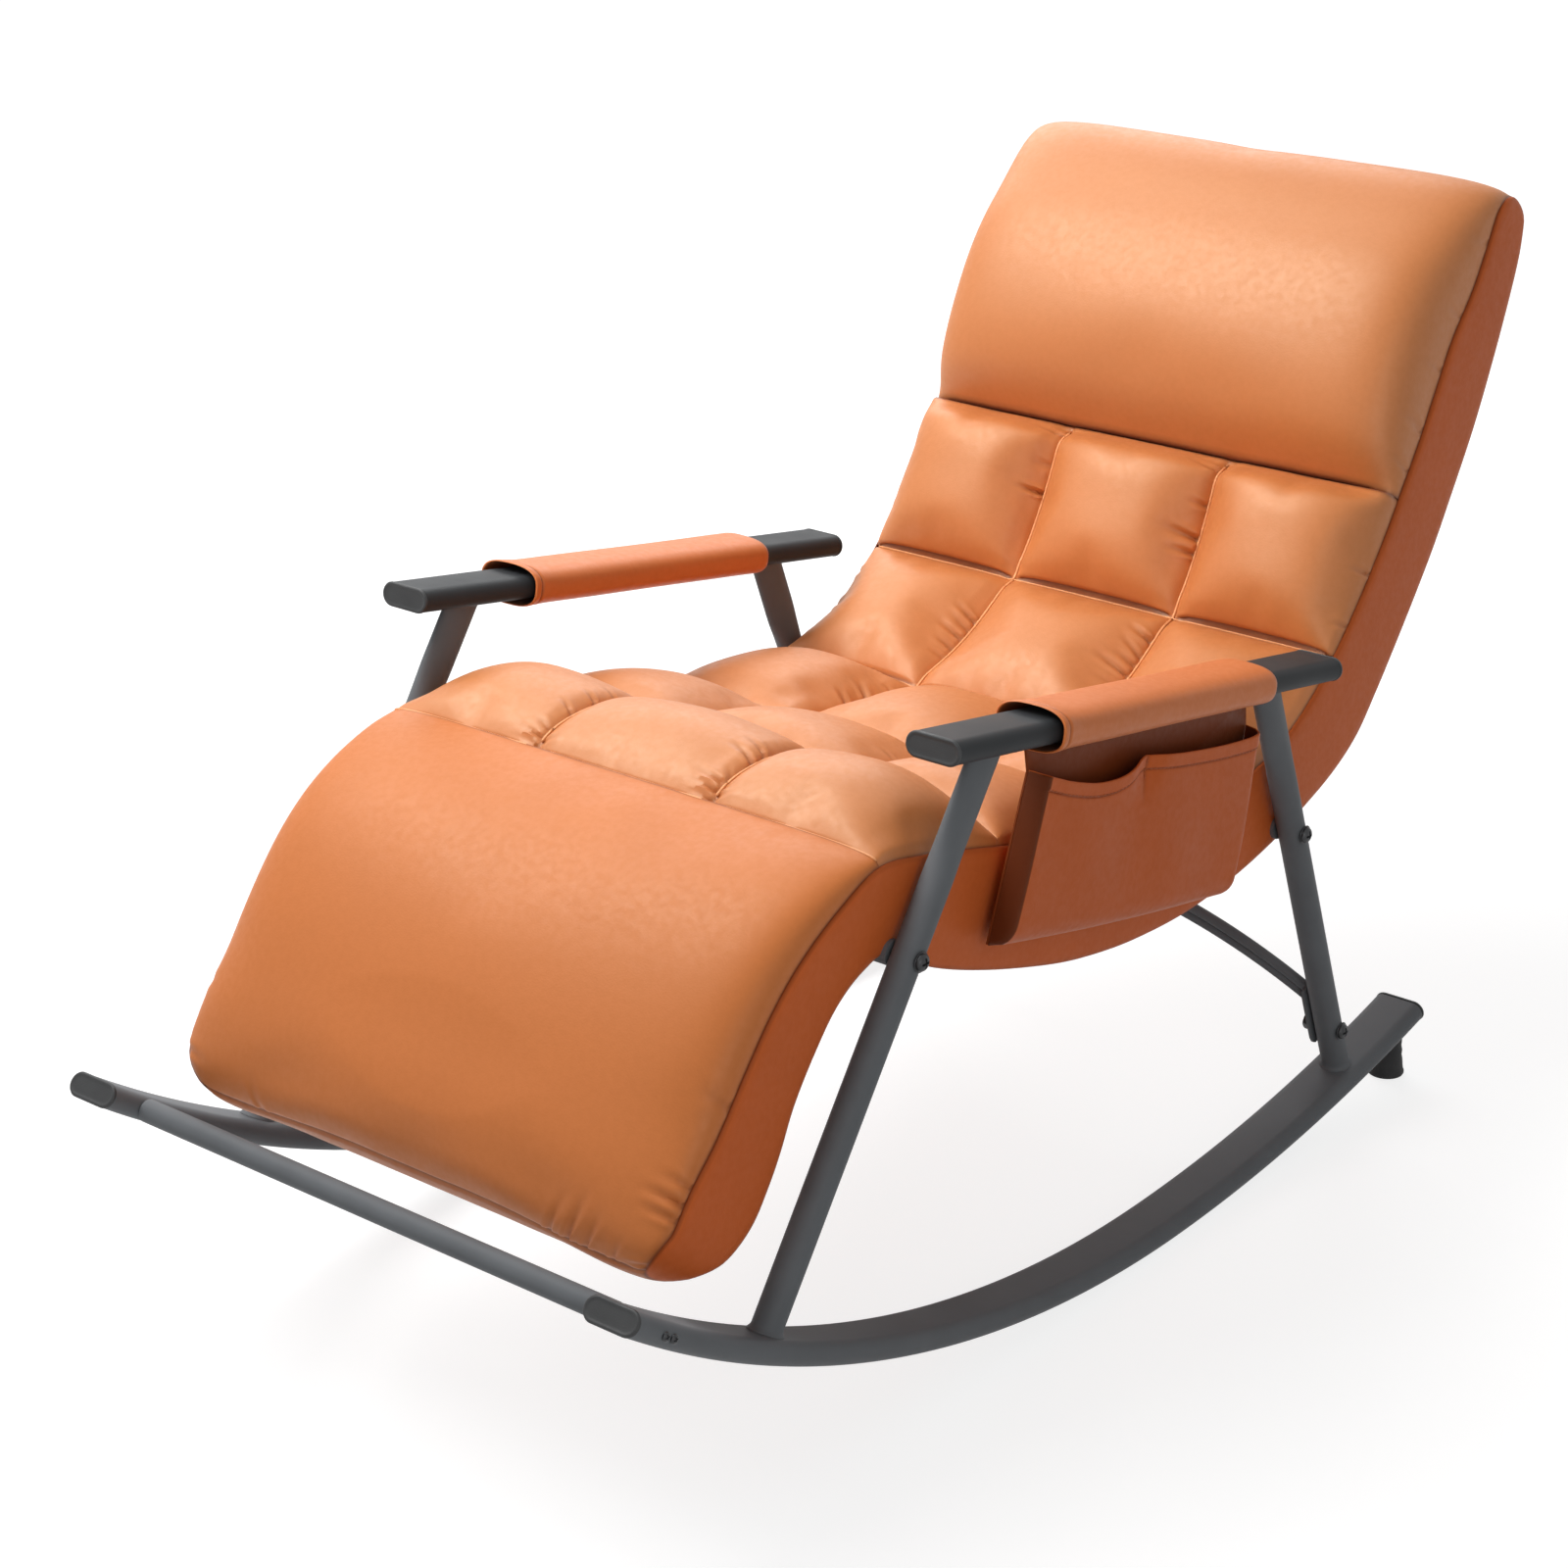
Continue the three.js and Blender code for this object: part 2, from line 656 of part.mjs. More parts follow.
function rowSections(index) {
  const opening = seamOpening / 2 / seamCurve.getLength();
  const from = rowSeams[index] + opening;
  const to = rowSeams[index + 1] - opening;
  const sections = [];
  for (let i = 0; i <= rowSteps; i++) {
    const t = i / rowSteps;
    const arch = THREE.MathUtils.lerp(rowSeamArches[index], rowSeamArches[index + 1], t);
    const section = seamSection(THREE.MathUtils.lerp(from, to, t));
    sections.push({ ...section, depth: foamDepth, arch, puff: rowPuffs[index] * bump(t) });
  }
  return sections;
}

// Sections round a roll; the arch fades fast after the first one.
function rollSections(centre, radius, [from, to], archFrom, archTo) {
  const sections = [];
  for (let i = 0; i <= rollSteps; i++) {
    const t = i / rollSteps;
    const angle = degrees(THREE.MathUtils.lerp(from, to, t));
    const out = new THREE.Vector2(Math.cos(angle), Math.sin(angle));
    const rim = centre.clone().addScaledVector(out, radius);
    const arch = archTo + (archFrom - archTo) * (1 - t) ** 2;
    sections.push({ rim, out, depth: foamDepth, arch, puff: 0 });
  }
  return sections;
}

function calfSections() {
  const opening = seamOpening / 2 / seamCurve.getLength();
  const to = kneeSeam - opening;
  const [under, seam] = footRollAngles;
  const sections = rollSections(footRoll, footRollRadius, [under - rollOpening, seam], footArch, footArch);
  for (let i = 1; i <= calfSteps; i++) {
    const t = i / calfSteps;
    const swell = (calfArch - (footArch + rowSeamArches[0]) / 2) * bump(t);
    const arch = THREE.MathUtils.lerp(footArch, rowSeamArches[0], t) + swell;
    sections.push({ ...seamSection(to * t), depth: foamDepth, arch, puff: 0 });
  }
  return sections;
}

function headSections() {
  const opening = seamOpening / 2 / seamCurve.getLength();
  const from = rowSeams[rowSeams.length - 1] + opening;
  const seamArch = rowSeamArches[rowSeamArches.length - 1];
  const sections = [];
  for (let i = 0; i < headSteps; i++) {
    const t = i / headSteps;
    const swell = (headArch - (seamArch + headShoulderArch) / 2) * bump(t);
    const arch = THREE.MathUtils.lerp(seamArch, headShoulderArch, t) + swell;
    sections.push({ ...seamSection(THREE.MathUtils.lerp(from, 1, t)), depth: foamDepth, arch, puff: 0 });
  }
  const [seam, under] = headRollAngles;
  const angles = [seam, under + rollOpening];
  return [...sections, ...rollSections(headRoll, headRollRadius, angles, headShoulderArch, headTopArch)];
}

// Covers

const frontSeatTube = boltPlaces.front[0];
const rearSeatTube = boltPlaces.rear[0];

function seatTubeEnvelope(place) {
  const outline = roundOutline(crossTubeDiameter / 2 + seatGap, 16);
  return solidOf(swept(outline, lineAlongX(-bodyWidth, bodyWidth, place.x, place.y), 1));
}

function addGusset(side, sign) {
  const outer = sign * bodyWidth / 2;
  const inner = sign * (bodyWidth / 2 - panelThickness);
  let panel = solidOf(slab(gussetOutline(), Math.min(outer, inner), Math.max(outer, inner)));
  for (const place of [frontSeatTube, rearSeatTube]) panel = panel.subtract(seatTubeEnvelope(place));
  add(`side_panel_${side}`, panel.decompose()[0], leather);
}

// The underside cover is cut where the front seat tube crosses it.
function undersideShareNear(place) {
  let [best, distance] = [0, Infinity];
  for (let share = 0; share <= 1; share += 1 / 400) {
    const d = undersideCurve.getPointAt(share).distanceTo(place);
    if (d < distance) [best, distance] = [share, d];
  }
  return best;
}

function undersidePanel(from, to, count) {
  const outline = [
    ...outlineSamples(undersideCurve, from, to, count),
    ...outlineSamples(undersideCurve, from, to, count, panelThickness).reverse(),
  ];
  let panel = solidOf(slab(outline, -cushionHalfWidth, cushionHalfWidth));
  panel = panel.subtract(seatTubeEnvelope(frontSeatTube));
  for (const sign of Object.values(sides)) panel = panel.subtract(lug(frontSeatTube, sign, seatGap));
  return panel;
}

// Seat frame

const railDepth = foamDepth + strapThickness + 2 * seatGap + railDiameter / 2;
const railEndShares = [0.035, 0.952];
const strapShares = { calf: 0.71, front_seat: 0.67, rear_seat: 0.33, lumbar: 0.5, back: 0.5 };

const railLength = seamCurve.getLength() * (railEndShares[1] - railEndShares[0]);
const railSteps = Math.round(railLength / railSectionLength);

function railPath(x) {
  const points = [];
  for (let i = 0; i <= railSteps; i++) {
    const place = inward(seamSection(THREE.MathUtils.lerp(...railEndShares, i / railSteps)), railDepth);
    points.push(new THREE.Vector3(x, place.x, place.y));
  }
  return new THREE.CatmullRomCurve3(points);
}

const railOutline = (offset) => roundOutline(railDiameter / 2 + offset, 8);
const railEnvelope = (x) => solidOf(swept(railOutline(seatGap), railPath(x), railSteps));

// Nearest place of the rail's centre line to a seat tube.
function railPlaceNear(place) {
  let [best, distance] = [null, Infinity];
  for (let share = railEndShares[0]; share < railEndShares[1]; share += 1 / 400) {
    const point = inward(seamSection(share), railDepth);
    if (point.distanceTo(place) < distance) [best, distance] = [point, point.distanceTo(place)];
  }
  return best;
}

// Lug that stands on a seat tube and meets the rail above it.
function lug(place, sign, offset = 0) {
  const rail = railPlaceNear(place);
  const along = rail.clone().sub(place).normalize();
  const across = new THREE.Vector2(-along.y, along.x).multiplyScalar(lugDepth / 2 + offset);
  const outline = [
    place.clone().add(across), rail.clone().add(across), rail.clone().sub(across), place.clone().sub(across),
  ];
  const x = sign * railSpacing / 2;
  return solidOf(slab(outline, x - lugThickness / 2 - offset, x + lugThickness / 2 + offset));
}

function seatTube(place) {
  const half = sideFrameSpacing / 2 - legDiameter / 2 - seatGap;
  const bore = boltDiameter / 2 + seatGap;
  const chamber = crossTubeDiameter / 2 - crossTubeWall;
  const plug = boltGrip + boltDiameter;
  const profile = [
    [-half, bore], [-half, crossTubeDiameter / 2], [half, crossTubeDiameter / 2], [half, bore],
    [half - plug, bore], [half - plug, chamber], [-half + plug, chamber], [-half + plug, bore], [-half, bore],
  ];
  let tube = solidOf(turnedOnX(profile, 16), new THREE.Matrix4().makeTranslation(0, place.x, place.y));
  const core = solidOf(
    turnedOnX([[-half, 0], [-half, chamber], [half, chamber], [half, 0]], 16),
    new THREE.Matrix4().makeTranslation(0, place.x, place.y),
  );
  for (const sign of Object.values(sides)) {
    const x = sign * railSpacing / 2;
    tube = tube.add(lug(place, sign).subtract(core).subtract(railEnvelope(x)));
  }
  return tube.decompose()[0];
}

function addSeatFrame() {
  const bored = railOutline(-railWall).reverse();
  const rail = (sign) => swept(railOutline(0), railPath(sign * railSpacing / 2), railSteps, bored);
  for (const [side, sign] of Object.entries(sides)) add(`seat_rail_${side}`, rail(sign), steel);
  const half = railSpacing / 2;
  for (const [name, share] of [['foot_tube', railEndShares[0]], ['head_tube', railEndShares[1]]]) {
    const inset = (share < 1 / 2 ? 1 : -1) * railDiameter / seamCurve.getLength();
    const place = inward(seamSection(share + inset), railDepth);
    const bore = roundOutline(railDiameter / 2 - railWall, 12).reverse();
    const path = lineAlongX(-half, half, place.x, place.y);
    let tube = solidOf(swept(roundOutline(railDiameter / 2, 12), path, 1, bore));
    for (const sign of Object.values(sides)) tube = tube.subtract(railEnvelope(sign * half));
    add(name, tube, steel);
  }
  add('seat_front_tube', seatTube(frontSeatTube), steel);
  add('seat_rear_tube', seatTube(rearSeatTube), steel);
}

// Webbing across the rails, under two neighbouring steps of a cushion's flat lower side.
function addStrap(name, sections, share) {
  const half = railSpacing / 2 + railDiameter / 2;
  const start = Math.round(share * (sections.length - 1)) - 1;
  const steps = [sections[start], sections[start + 1], sections[start + 2]];
  const outline = [
    ...steps.map((section) => inward(section, foamDepth + seatGap)),
    ...steps.map((section) => inward(section, foamDepth + seatGap + strapThickness)).reverse(),
  ];
  let strap = solidOf(slab(outline, -half, half));
  for (const sign of Object.values(sides)) strap = strap.subtract(railEnvelope(sign * railSpacing / 2));
  add(`${name}_strap`, strap, webbing);
}

// Front tube and rear brace

function addFrontTube() {
  const half = sideFrameSpacing / 2 - flatTubeWidth / 2 - seatGap;
  const [outer, inner] = [frontTubeDiameter / 2, frontTubeDiameter / 2 - crossTubeWall];
  const end = half - frontTubeEndLength;
  const core = solidOf(turnedOnX([[-end, 0], [-end, inner], [end, inner], [end, 0]], 16));
  let tube = solidOf(turnedOnX([[-half, 0], [-half, outer], [half, outer], [half, 0]], 16)).subtract(core);
  const matrix = new THREE.Matrix4().makeTranslation(0, frontTubeReach, frontTubeHeight);
  tube = tube.transform(matrix.elements);
  for (const place of screwPlaces()) {
    tube = tube.subtract(screwHole(place, -half - cutOverrun, half + cutOverrun));
  }
  add('front_cross_tube', tube, steel);
  for (const [side, sign] of Object.entries(sides)) {
    const headX = sideFrameSpacing / 2 + flatTubeWidth / 2 + seatGap;
    screwPlaces().forEach((place, i) => {
      const length = flatTubeWidth + 2 * seatGap + screwGrip;
      const profile = [
        [-length, 0], [-length, screwDiameter / 2], [0, screwDiameter / 2], [0, screwHeadDiameter / 2],
        [screwHeadHeight, screwHeadDiameter / 3], [screwHeadHeight, 0],
      ];
      const turn = new THREE.Matrix4().makeRotationY(sign > 0 ? 0 : Math.PI);
      const matrix = new THREE.Matrix4().makeTranslation(sign * headX, place.x, place.y).multiply(turn);
      add(`front_tube_screw_${side}_${i + 1}`, turnedOnX(profile, 8), bolt, matrix);
    });
  }
}

// The arch lies in the plane of the two rear legs.
function addBrace() {
  const legFace = sideFrameSpacing / 2 - legDiameter / 2 - seatGap;
  const rise = braceCrestHeight - braceEndHeight;
  const radius = (legFace ** 2 + rise ** 2) / (2 * rise);
  const archHeight = (x) => braceCrestHeight - radius + Math.sqrt(radius ** 2 - x ** 2);
  const rodPath = (offset) => {
    const points = [];
    const steps = 14;
    for (let i = 0; i <= steps; i++) {
      const x = THREE.MathUtils.lerp(-legFace, legFace, i / steps);
      const place = legPoint(legs.rear, archHeight(x) + offset);
      points.push(new THREE.Vector3(x, place.x, place.y));
    }
    return new THREE.CatmullRomCurve3(points);
  };
  const rods = [-1, 1].map((end) => solidOf(
    swept(roundOutline(braceRodDiameter / 2, 8), rodPath(end * braceRodSpacing / 2), 14),
  ));
  const head = legPoint(legs.rear, braceEndHeight + braceRodSpacing);
  const foot = legPoint(legs.rear, braceTabFootHeight);
  const across = new THREE.Vector2(foot.y - head.y, head.x - foot.x).setLength(braceTabWidth / 2);
  const outline = [
    foot.clone().add(across), head.clone().add(across), head.clone().sub(across), foot.clone().sub(across),
  ];
  const between = solidOf(
    new THREE.BoxGeometry(2 * legFace, bodyLength, bodyHeight),
    new THREE.Matrix4().makeTranslation(0, head.x, head.y),
  );
  let brace = rods[0].add(rods[1]).intersect(between);
  for (const sign of Object.values(sides)) {
    const [a, b] = [sign * legFace, sign * (legFace - braceTabThickness)];
    brace = brace.add(solidOf(slab(outline, Math.min(a, b), Math.max(a, b))));
  }
  brace = brace.subtract(boltHole(boltPlaces.rear[1], -legFace - cutOverrun, legFace + cutOverrun));
  add('rear_brace', brace, steel);
}

function addBolts(side, sign) {
  const outerFace = sideFrameSpacing / 2 + legDiameter / 2 + seatGap;
  const throughLeg = legDiameter + 2 * seatGap;
  addBolt(`front_leg_bolt_${side}`, sign, boltPlaces.front[0], outerFace, throughLeg + boltGrip);
  addBolt(`rear_leg_bolt_${side}`, sign, boltPlaces.rear[0], outerFace, throughLeg + boltGrip);
  const stack = throughLeg + braceTabThickness + seatGap + nutHeight + seatGap;
  addBolt(`brace_bolt_${side}`, sign, boltPlaces.rear[1], outerFace, stack);
  const nutFace = sideFrameSpacing / 2 - legDiameter / 2 - 2 * seatGap - braceTabThickness;
  addNut(`brace_nut_${side}`, sign, boltPlaces.rear[1], nutFace);
}

// Sleeves and pocket

const sleeveFrontReach = legs.front.top + sleeveFrontSetback;
const sleeveRearReach = legs.rear.top - sleeveRearSetback;

function addSleeve(side, sign) {
  const path = armPath(sign * sideFrameSpacing / 2, sleeveFrontReach, sleeveRearReach);
  const bore = flatOvalOutline(seatGap).reverse();
  add(`armrest_sleeve_${side}`, swept(flatOvalOutline(seatGap + sleeveThickness), path, 1, bore), leather);
}

// Pocket outline: shares of the sleeve's length and of the drop below the arm's centre line
const pocketTopShares = [1, -0.03];
const pocketFrontShares = [[-0.042, 0.19], [-0.17, 1]];
const pocketRearShares = [[0.873, 1], [0.955, 0.63], [0.976, 0.24]];
// Its mouth from back to front: high over the rear part, with a step down to the front part
const pocketMouthShares = [
  [0.85, 0.25], [0.64, 0.24], [0.44, 0.205], [0.39, 0.235], [0.33, 0.275], [0.14, 0.255], [0.015, 0.21],
];
const pocketDividerShare = 0.418;

function belowArm(lengthShare, dropShare) {
  const reach = THREE.MathUtils.lerp(sleeveFrontReach, sleeveRearReach, lengthShare);
  return new THREE.Vector2(reach, armHeight(reach) - dropShare * pocketDrop);
}

const pocketPoints = (shares) => shares.map((share) => belowArm(...share));

function addPocket() {
  const backX = sideFrameSpacing / 2 - pocketBackOffset;
  const topDropShare = (flatTubeHeight / 2 + sleeveThickness + 2 * seatGap) / pocketDrop;
  const tops = pocketTopShares.map((lengthShare) => belowArm(lengthShare, topDropShare));
  const [rearFoot, rearSide, rearMouth] = pocketPoints(pocketRearShares);
  const [frontMouth, frontFoot] = pocketPoints(pocketFrontShares);
  const edge = [frontMouth, frontFoot, rearFoot, rearSide, rearMouth];
  add('pocket_back_panel', slab([...edge, ...tops], backX - pocketSheet, backX), leather);

  const near = backX + seatGap;
  const far = near + pocketDepth;
  const mouth = pocketPoints(pocketMouthShares);
  let pouch = solidOf(slab([...edge, ...mouth], near, far));
  const divider = THREE.MathUtils.lerp(sleeveFrontReach, sleeveRearReach, pocketDividerShare);
  const floorHeight = (reach) => armHeight(reach) - pocketDrop + pocketSeamWidth;
  const inset = (point, reachStep) => new THREE.Vector2(point.x + reachStep, point.y);
  const atFloor = (reach) => new THREE.Vector2(reach, floorHeight(reach));
  const atTop = (reach) => new THREE.Vector2(reach, armHeight(reach));
  const compartments = [
    [
      atTop(divider + pocketSeamWidth / 2), atFloor(divider + pocketSeamWidth / 2),
      atFloor(rearFoot.x - pocketSeamWidth), inset(rearSide, -pocketSeamWidth),
      inset(rearMouth, -pocketSeamWidth), atTop(rearMouth.x - pocketSeamWidth),
    ],
    [
      atTop(frontMouth.x + pocketSeamWidth), inset(frontMouth, pocketSeamWidth),
      atFloor(frontFoot.x + pocketSeamWidth), atFloor(divider - pocketSeamWidth / 2),
      atTop(divider - pocketSeamWidth / 2),
    ],
  ];
  for (const outline of compartments) {
    pouch = pouch.subtract(solidOf(slab(outline, near - pocketSheet, far - pocketSheet)));
  }
  add('pocket_pouch', pouch, leather);
}

// Assembly

for (const [side, sign] of Object.entries(sides)) {
  addRocker(side, sign);
  addLeg('front', side, sign);
  addLeg('rear', side, sign);
  addArm(side, sign);
  addBolts(side, sign);
  addSleeve(side, sign);
  addGusset(side, sign);
}
addFrontTube();
addBrace();
addSeatFrame();
addPocket();
const tubeShare = undersideShareNear(frontSeatTube);
add('calf_underside_cover', undersidePanel(0, tubeShare, 16), leather);
add('seat_underside_cover', undersidePanel(tubeShare, 1, 36), leather);
const padding = {
  calf_cushion: calfSections(),
  seat_cushion_front: rowSections(0),
  seat_cushion_middle: rowSections(1),
  seat_cushion_rear: rowSections(2),
  lumbar_cushion: rowSections(3),
  back_cushion: rowSections(4),
  head_cushion: headSections(),
};
for (const [name, sections] of Object.entries(padding)) add(name, paddedSolid(sections), leather);
addStrap('calf', padding.calf_cushion, strapShares.calf);
addStrap('front_seat', padding.seat_cushion_front, strapShares.front_seat);
addStrap('rear_seat', padding.seat_cushion_rear, strapShares.rear_seat);
addStrap('lumbar', padding.lumbar_cushion, strapShares.lumbar);
addStrap('back', padding.back_cushion, strapShares.back);

// The origin is on the floor, under the middle of the chair's length.
const extent = new THREE.Box3().setFromObject(chair);
chair.position.y = -(extent.min.y + extent.max.y) / 2;

const part = new THREE.Group();
part.add(chair);

export default part;
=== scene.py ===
"""Rocking lounge chair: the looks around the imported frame. Metres, +Z up, the sitter faces -Y."""

import json
import math

import bmesh
import bpy
import numpy as np
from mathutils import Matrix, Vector


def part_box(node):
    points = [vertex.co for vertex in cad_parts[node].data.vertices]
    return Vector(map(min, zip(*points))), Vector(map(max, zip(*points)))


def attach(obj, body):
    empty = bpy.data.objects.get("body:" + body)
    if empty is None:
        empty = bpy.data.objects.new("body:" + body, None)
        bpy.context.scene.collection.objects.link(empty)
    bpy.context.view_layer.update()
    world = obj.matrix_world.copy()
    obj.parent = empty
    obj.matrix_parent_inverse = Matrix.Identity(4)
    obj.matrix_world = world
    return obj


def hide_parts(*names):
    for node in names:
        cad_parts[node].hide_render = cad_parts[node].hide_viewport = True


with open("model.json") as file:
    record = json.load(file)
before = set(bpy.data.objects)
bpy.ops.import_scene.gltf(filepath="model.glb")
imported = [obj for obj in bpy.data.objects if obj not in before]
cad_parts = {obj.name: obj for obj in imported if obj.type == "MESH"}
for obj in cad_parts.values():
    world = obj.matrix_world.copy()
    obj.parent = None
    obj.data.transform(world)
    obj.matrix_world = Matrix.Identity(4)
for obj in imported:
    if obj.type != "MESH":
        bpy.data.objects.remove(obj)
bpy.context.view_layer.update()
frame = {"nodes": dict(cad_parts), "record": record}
scene = bpy.context.scene

MM = 0.001
SIDES = {"left": 1, "right": -1}

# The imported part's own places: its side plane's zero is the rockers' lowest point.
FOOT_REACH = 0.415
_low, _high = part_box("rear_foot_left")
SHIFT = (_low.y + _high.y) / 2 - FOOT_REACH
SIDE_X = (_low.x + _high.x) / 2


def row(points):
    """Side-plane places (reach, height) in millimetres as row (y, z) in metres."""
    return np.atleast_2d(np.array(points, float)) * MM + [SHIFT, 0]


# ==== meshes

def mesh_piece(name, body, material, stands_for=(), slot=None, sharp=38, painted_shade=None):
    """A piece from a body, which is (points, faces), riding on the one CAD body."""
    verts, faces = body
    mesh = bpy.data.meshes.new(name)
    mesh.from_pydata([tuple(map(float, v)) for v in verts], [], [tuple(map(int, f)) for f in faces])
    bm = bmesh.new()
    bm.from_mesh(mesh)
    bmesh.ops.recalc_face_normals(bm, faces=bm.faces)
    bm.to_mesh(mesh)
    bm.free()
    mesh.polygons.foreach_set("use_smooth", np.ones(len(mesh.polygons), bool))
    if sharp:
        mesh.set_sharp_from_angle(angle=math.radians(sharp))
    # A point attribute of painted shade, read by the leather materials.
    if painted_shade is not None:
        layer = mesh.attributes.new("painted_shade", "FLOAT", "POINT")
        layer.data.foreach_set("value", np.asarray(painted_shade, np.float32))
    mesh.materials.append(material)
    piece = bpy.data.objects.new(name, mesh)
    scene.collection.objects.link(piece)
    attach(piece, "root")
    if stands_for:
        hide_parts(*([stands_for] if isinstance(stands_for, str) else stands_for))
    return piece


def grid_faces(rows, cols, closed_rows=False, closed_cols=False, start=0):
    """Quads of a grid of points, counted row by row."""
    faces = []
    for r in range(rows if closed_rows else rows - 1):
        for c in range(cols if closed_cols else cols - 1):
            a, b = r * cols + c, r * cols + (c + 1) % cols
            d, e = ((r + 1) % rows) * cols + c, ((r + 1) % rows) * cols + (c + 1) % cols
            faces.append((start + a, start + b, start + e, start + d))
    return faces


def tube_mesh(rings):
    """Points and faces of a closed sweep through rings of equally many points."""
    rings = np.asarray(rings)
    n, m = rings.shape[:2]
    faces = grid_faces(n, m, closed_cols=True) + [tuple(range(m)), tuple(range((n - 1) * m, n * m))]
    return rings.reshape(-1, 3), faces


def shell(outer, inner):
    """Points and faces of a thin body between two grids of points."""
    n, m = outer.shape[:2]
    base = n * m
    faces = grid_faces(n, m) + grid_faces(n, m, start=base)
    for r in range(n - 1):
        for i in (r * m, r * m + m - 1):
            faces.append((i, i + m, base + i + m, base + i))
    for r in (0, n - 1):
        for i in range(r * m, r * m + m - 1):
            faces.append((i, i + 1, base + i + 1, base + i))
    return np.vstack([outer.reshape(-1, 3), inner.reshape(-1, 3)]), faces


def plate(outline, steps):
    """Points and faces of a flat plate from its side-plane outline and its (x, share of size) steps."""
    middle = outline.mean(0)
    return tube_mesh([np.column_stack([np.full(len(outline), x), middle + (outline - middle) * share])
                      for x, share in steps])


class Parts:
    """Collects several closed bodies into one mesh."""

    def __init__(self):
        self.verts, self.faces, self.count = [], [], 0

    def add(self, body):
        verts, faces = body
        self.verts.append(np.asarray(verts, float))
        self.faces += [tuple(i + self.count for i in f) for f in faces]
        self.count += len(verts)
        return self

    def piece(self, name, material, **more):
        return mesh_piece(name, (np.vstack(self.verts), self.faces), material, **more)


def smooth_line(points, per=14):
    """Uniform Catmull-Rom line through the points, dense."""
    p = np.asarray(points, float)
    p = np.vstack([p[:1], p, p[-1:]])
    t = np.linspace(0, 1, per, endpoint=False)[:, None]
    out = []
    for i in range(1, len(p) - 2):
        a, b, c, d = p[i - 1:i + 3]
        out.append(0.5 * (2 * b + (c - a) * t + (2 * a - 5 * b + 4 * c - d) * t ** 2
                          + (3 * b - a - 3 * c + d) * t ** 3))
    return np.vstack(out + [p[-2][None]])


def lengths(points):
    """Length along a line at each of its points."""
    step = np.linalg.norm(np.diff(points, axis=0), axis=1)
    return np.concatenate([[0], np.cumsum(step)])


def at_lengths(points, wanted):
    """Points of a line at the wanted lengths along it."""
    s = lengths(points)
    return np.stack([np.interp(wanted, s, points[:, k]) for k in range(points.shape[1])], 1)


def evenly(points, count):
    """The same line with evenly spaced points."""
    return at_lengths(points, np.linspace(0, lengths(points)[-1], count))


def directions(points):
    d = np.gradient(points, axis=0)
    return d / np.linalg.norm(d, axis=1)[:, None]


def flat_oval(width, height, n=12):
    """Outline with flat top and bottom and half-round sides, as (across, up)."""
    r, flat = height / 2, (width - height) / 2
    a = np.linspace(-math.pi / 2, math.pi / 2, n)
    right = np.stack([flat + r * np.cos(a), r * np.sin(a)], 1)
    return np.vstack([right, -right])


def around(n):
    """Cosines and sines of n even steps round a circle."""
    a = np.arange(n) / n * 2 * math.pi
    return np.cos(a), np.sin(a)


def circle(x, radius, n, centre=(0, 0)):
    """Ring of n points round a line along x; x and radius are one value or one for each point."""
    cos, sin = around(n)
    return np.column_stack([np.full(n, x), centre[0] + radius * cos, centre[1] + radius * sin])


def left_of(d):
    """Side-plane directions turned a quarter round."""
    return np.stack([-d[..., 1], d[..., 0]], -1)


def standing(x, place, up, section):
    """A section, as (across x, along up), at a side-plane place."""
    return np.column_stack([x + section[:, 0], place + up * section[:, 1:2]])


def side_sweep(x, path, sections):
    """Rings along a side-plane path; a section is (across x, along the path's normal)."""
    normals = left_of(directions(path))
    return [standing(x, place, up, section) for place, up, section in zip(path, normals, sections)]


def turned(profile, n):
    """Closed turned body round the local x axis from (along, radius) pairs."""
    return tube_mesh([circle(x, r, n) for x, r in profile])


# ==== materials

def new_tree(owner, output):
    owner.use_nodes = True
    tree = owner.node_tree
    tree.nodes.clear()
    return tree, tree.nodes.new(output)


def new_surface(name):
    """A material with its node tree, its shader and the object's own coordinates."""
    material = bpy.data.materials.new(name)
    tree, out = new_tree(material, "ShaderNodeOutputMaterial")
    shader = tree.nodes.new("ShaderNodeBsdfPrincipled")
    tree.links.new(shader.outputs[0], out.inputs[0])
    return material, tree, shader, tree.nodes.new("ShaderNodeTexCoord").outputs["Object"]


def linear(rgb, share=1.0):
    """An sRGB colour of 0 to 255 as a linear one, darkened or lightened by a share."""
    parts = [c / 255 / 12.92 if c / 255 <= 0.04045 else ((c / 255 + 0.055) / 1.055) ** 2.4 for c in rgb]
    return tuple(min(1, c * share) for c in parts) + (1,)


def put_in(tree, made, values):
    """Links or sets a node's inputs, by name or number."""
    for key, value in values.items():
        if isinstance(value, bpy.types.NodeSocket):
            tree.links.new(value, made.inputs[key])
        else:
            made.inputs[key].default_value = value
    return made


def node(tree, kind, values, **settings):
    made = tree.nodes.new(kind)
    for key, value in settings.items():
        setattr(made, key, value)
    return put_in(tree, made, values)


def noise(tree, coord, scale, detail):
    return node(tree, "ShaderNodeTexNoise", {"Vector": coord, "Scale": scale, "Detail": detail}).outputs[0]


def ramp(tree, value, low, high, start=0.0, end=1.0):
    """A value carried from the range start..end to low..high."""
    return node(tree, "ShaderNodeMapRange", {"Value": value, "From Min": start, "From Max": end,
                                             "To Min": low, "To Max": high}).outputs[0]


def sum_of(tree, operation, a, b):
    return node(tree, "ShaderNodeMath", {0: a, 1: b}, operation=operation).outputs[0]


def mixed(tree, factor, a, b):
    return node(tree, "ShaderNodeMix", {0: factor, 6: a, 7: b}, data_type="RGBA").outputs[2]


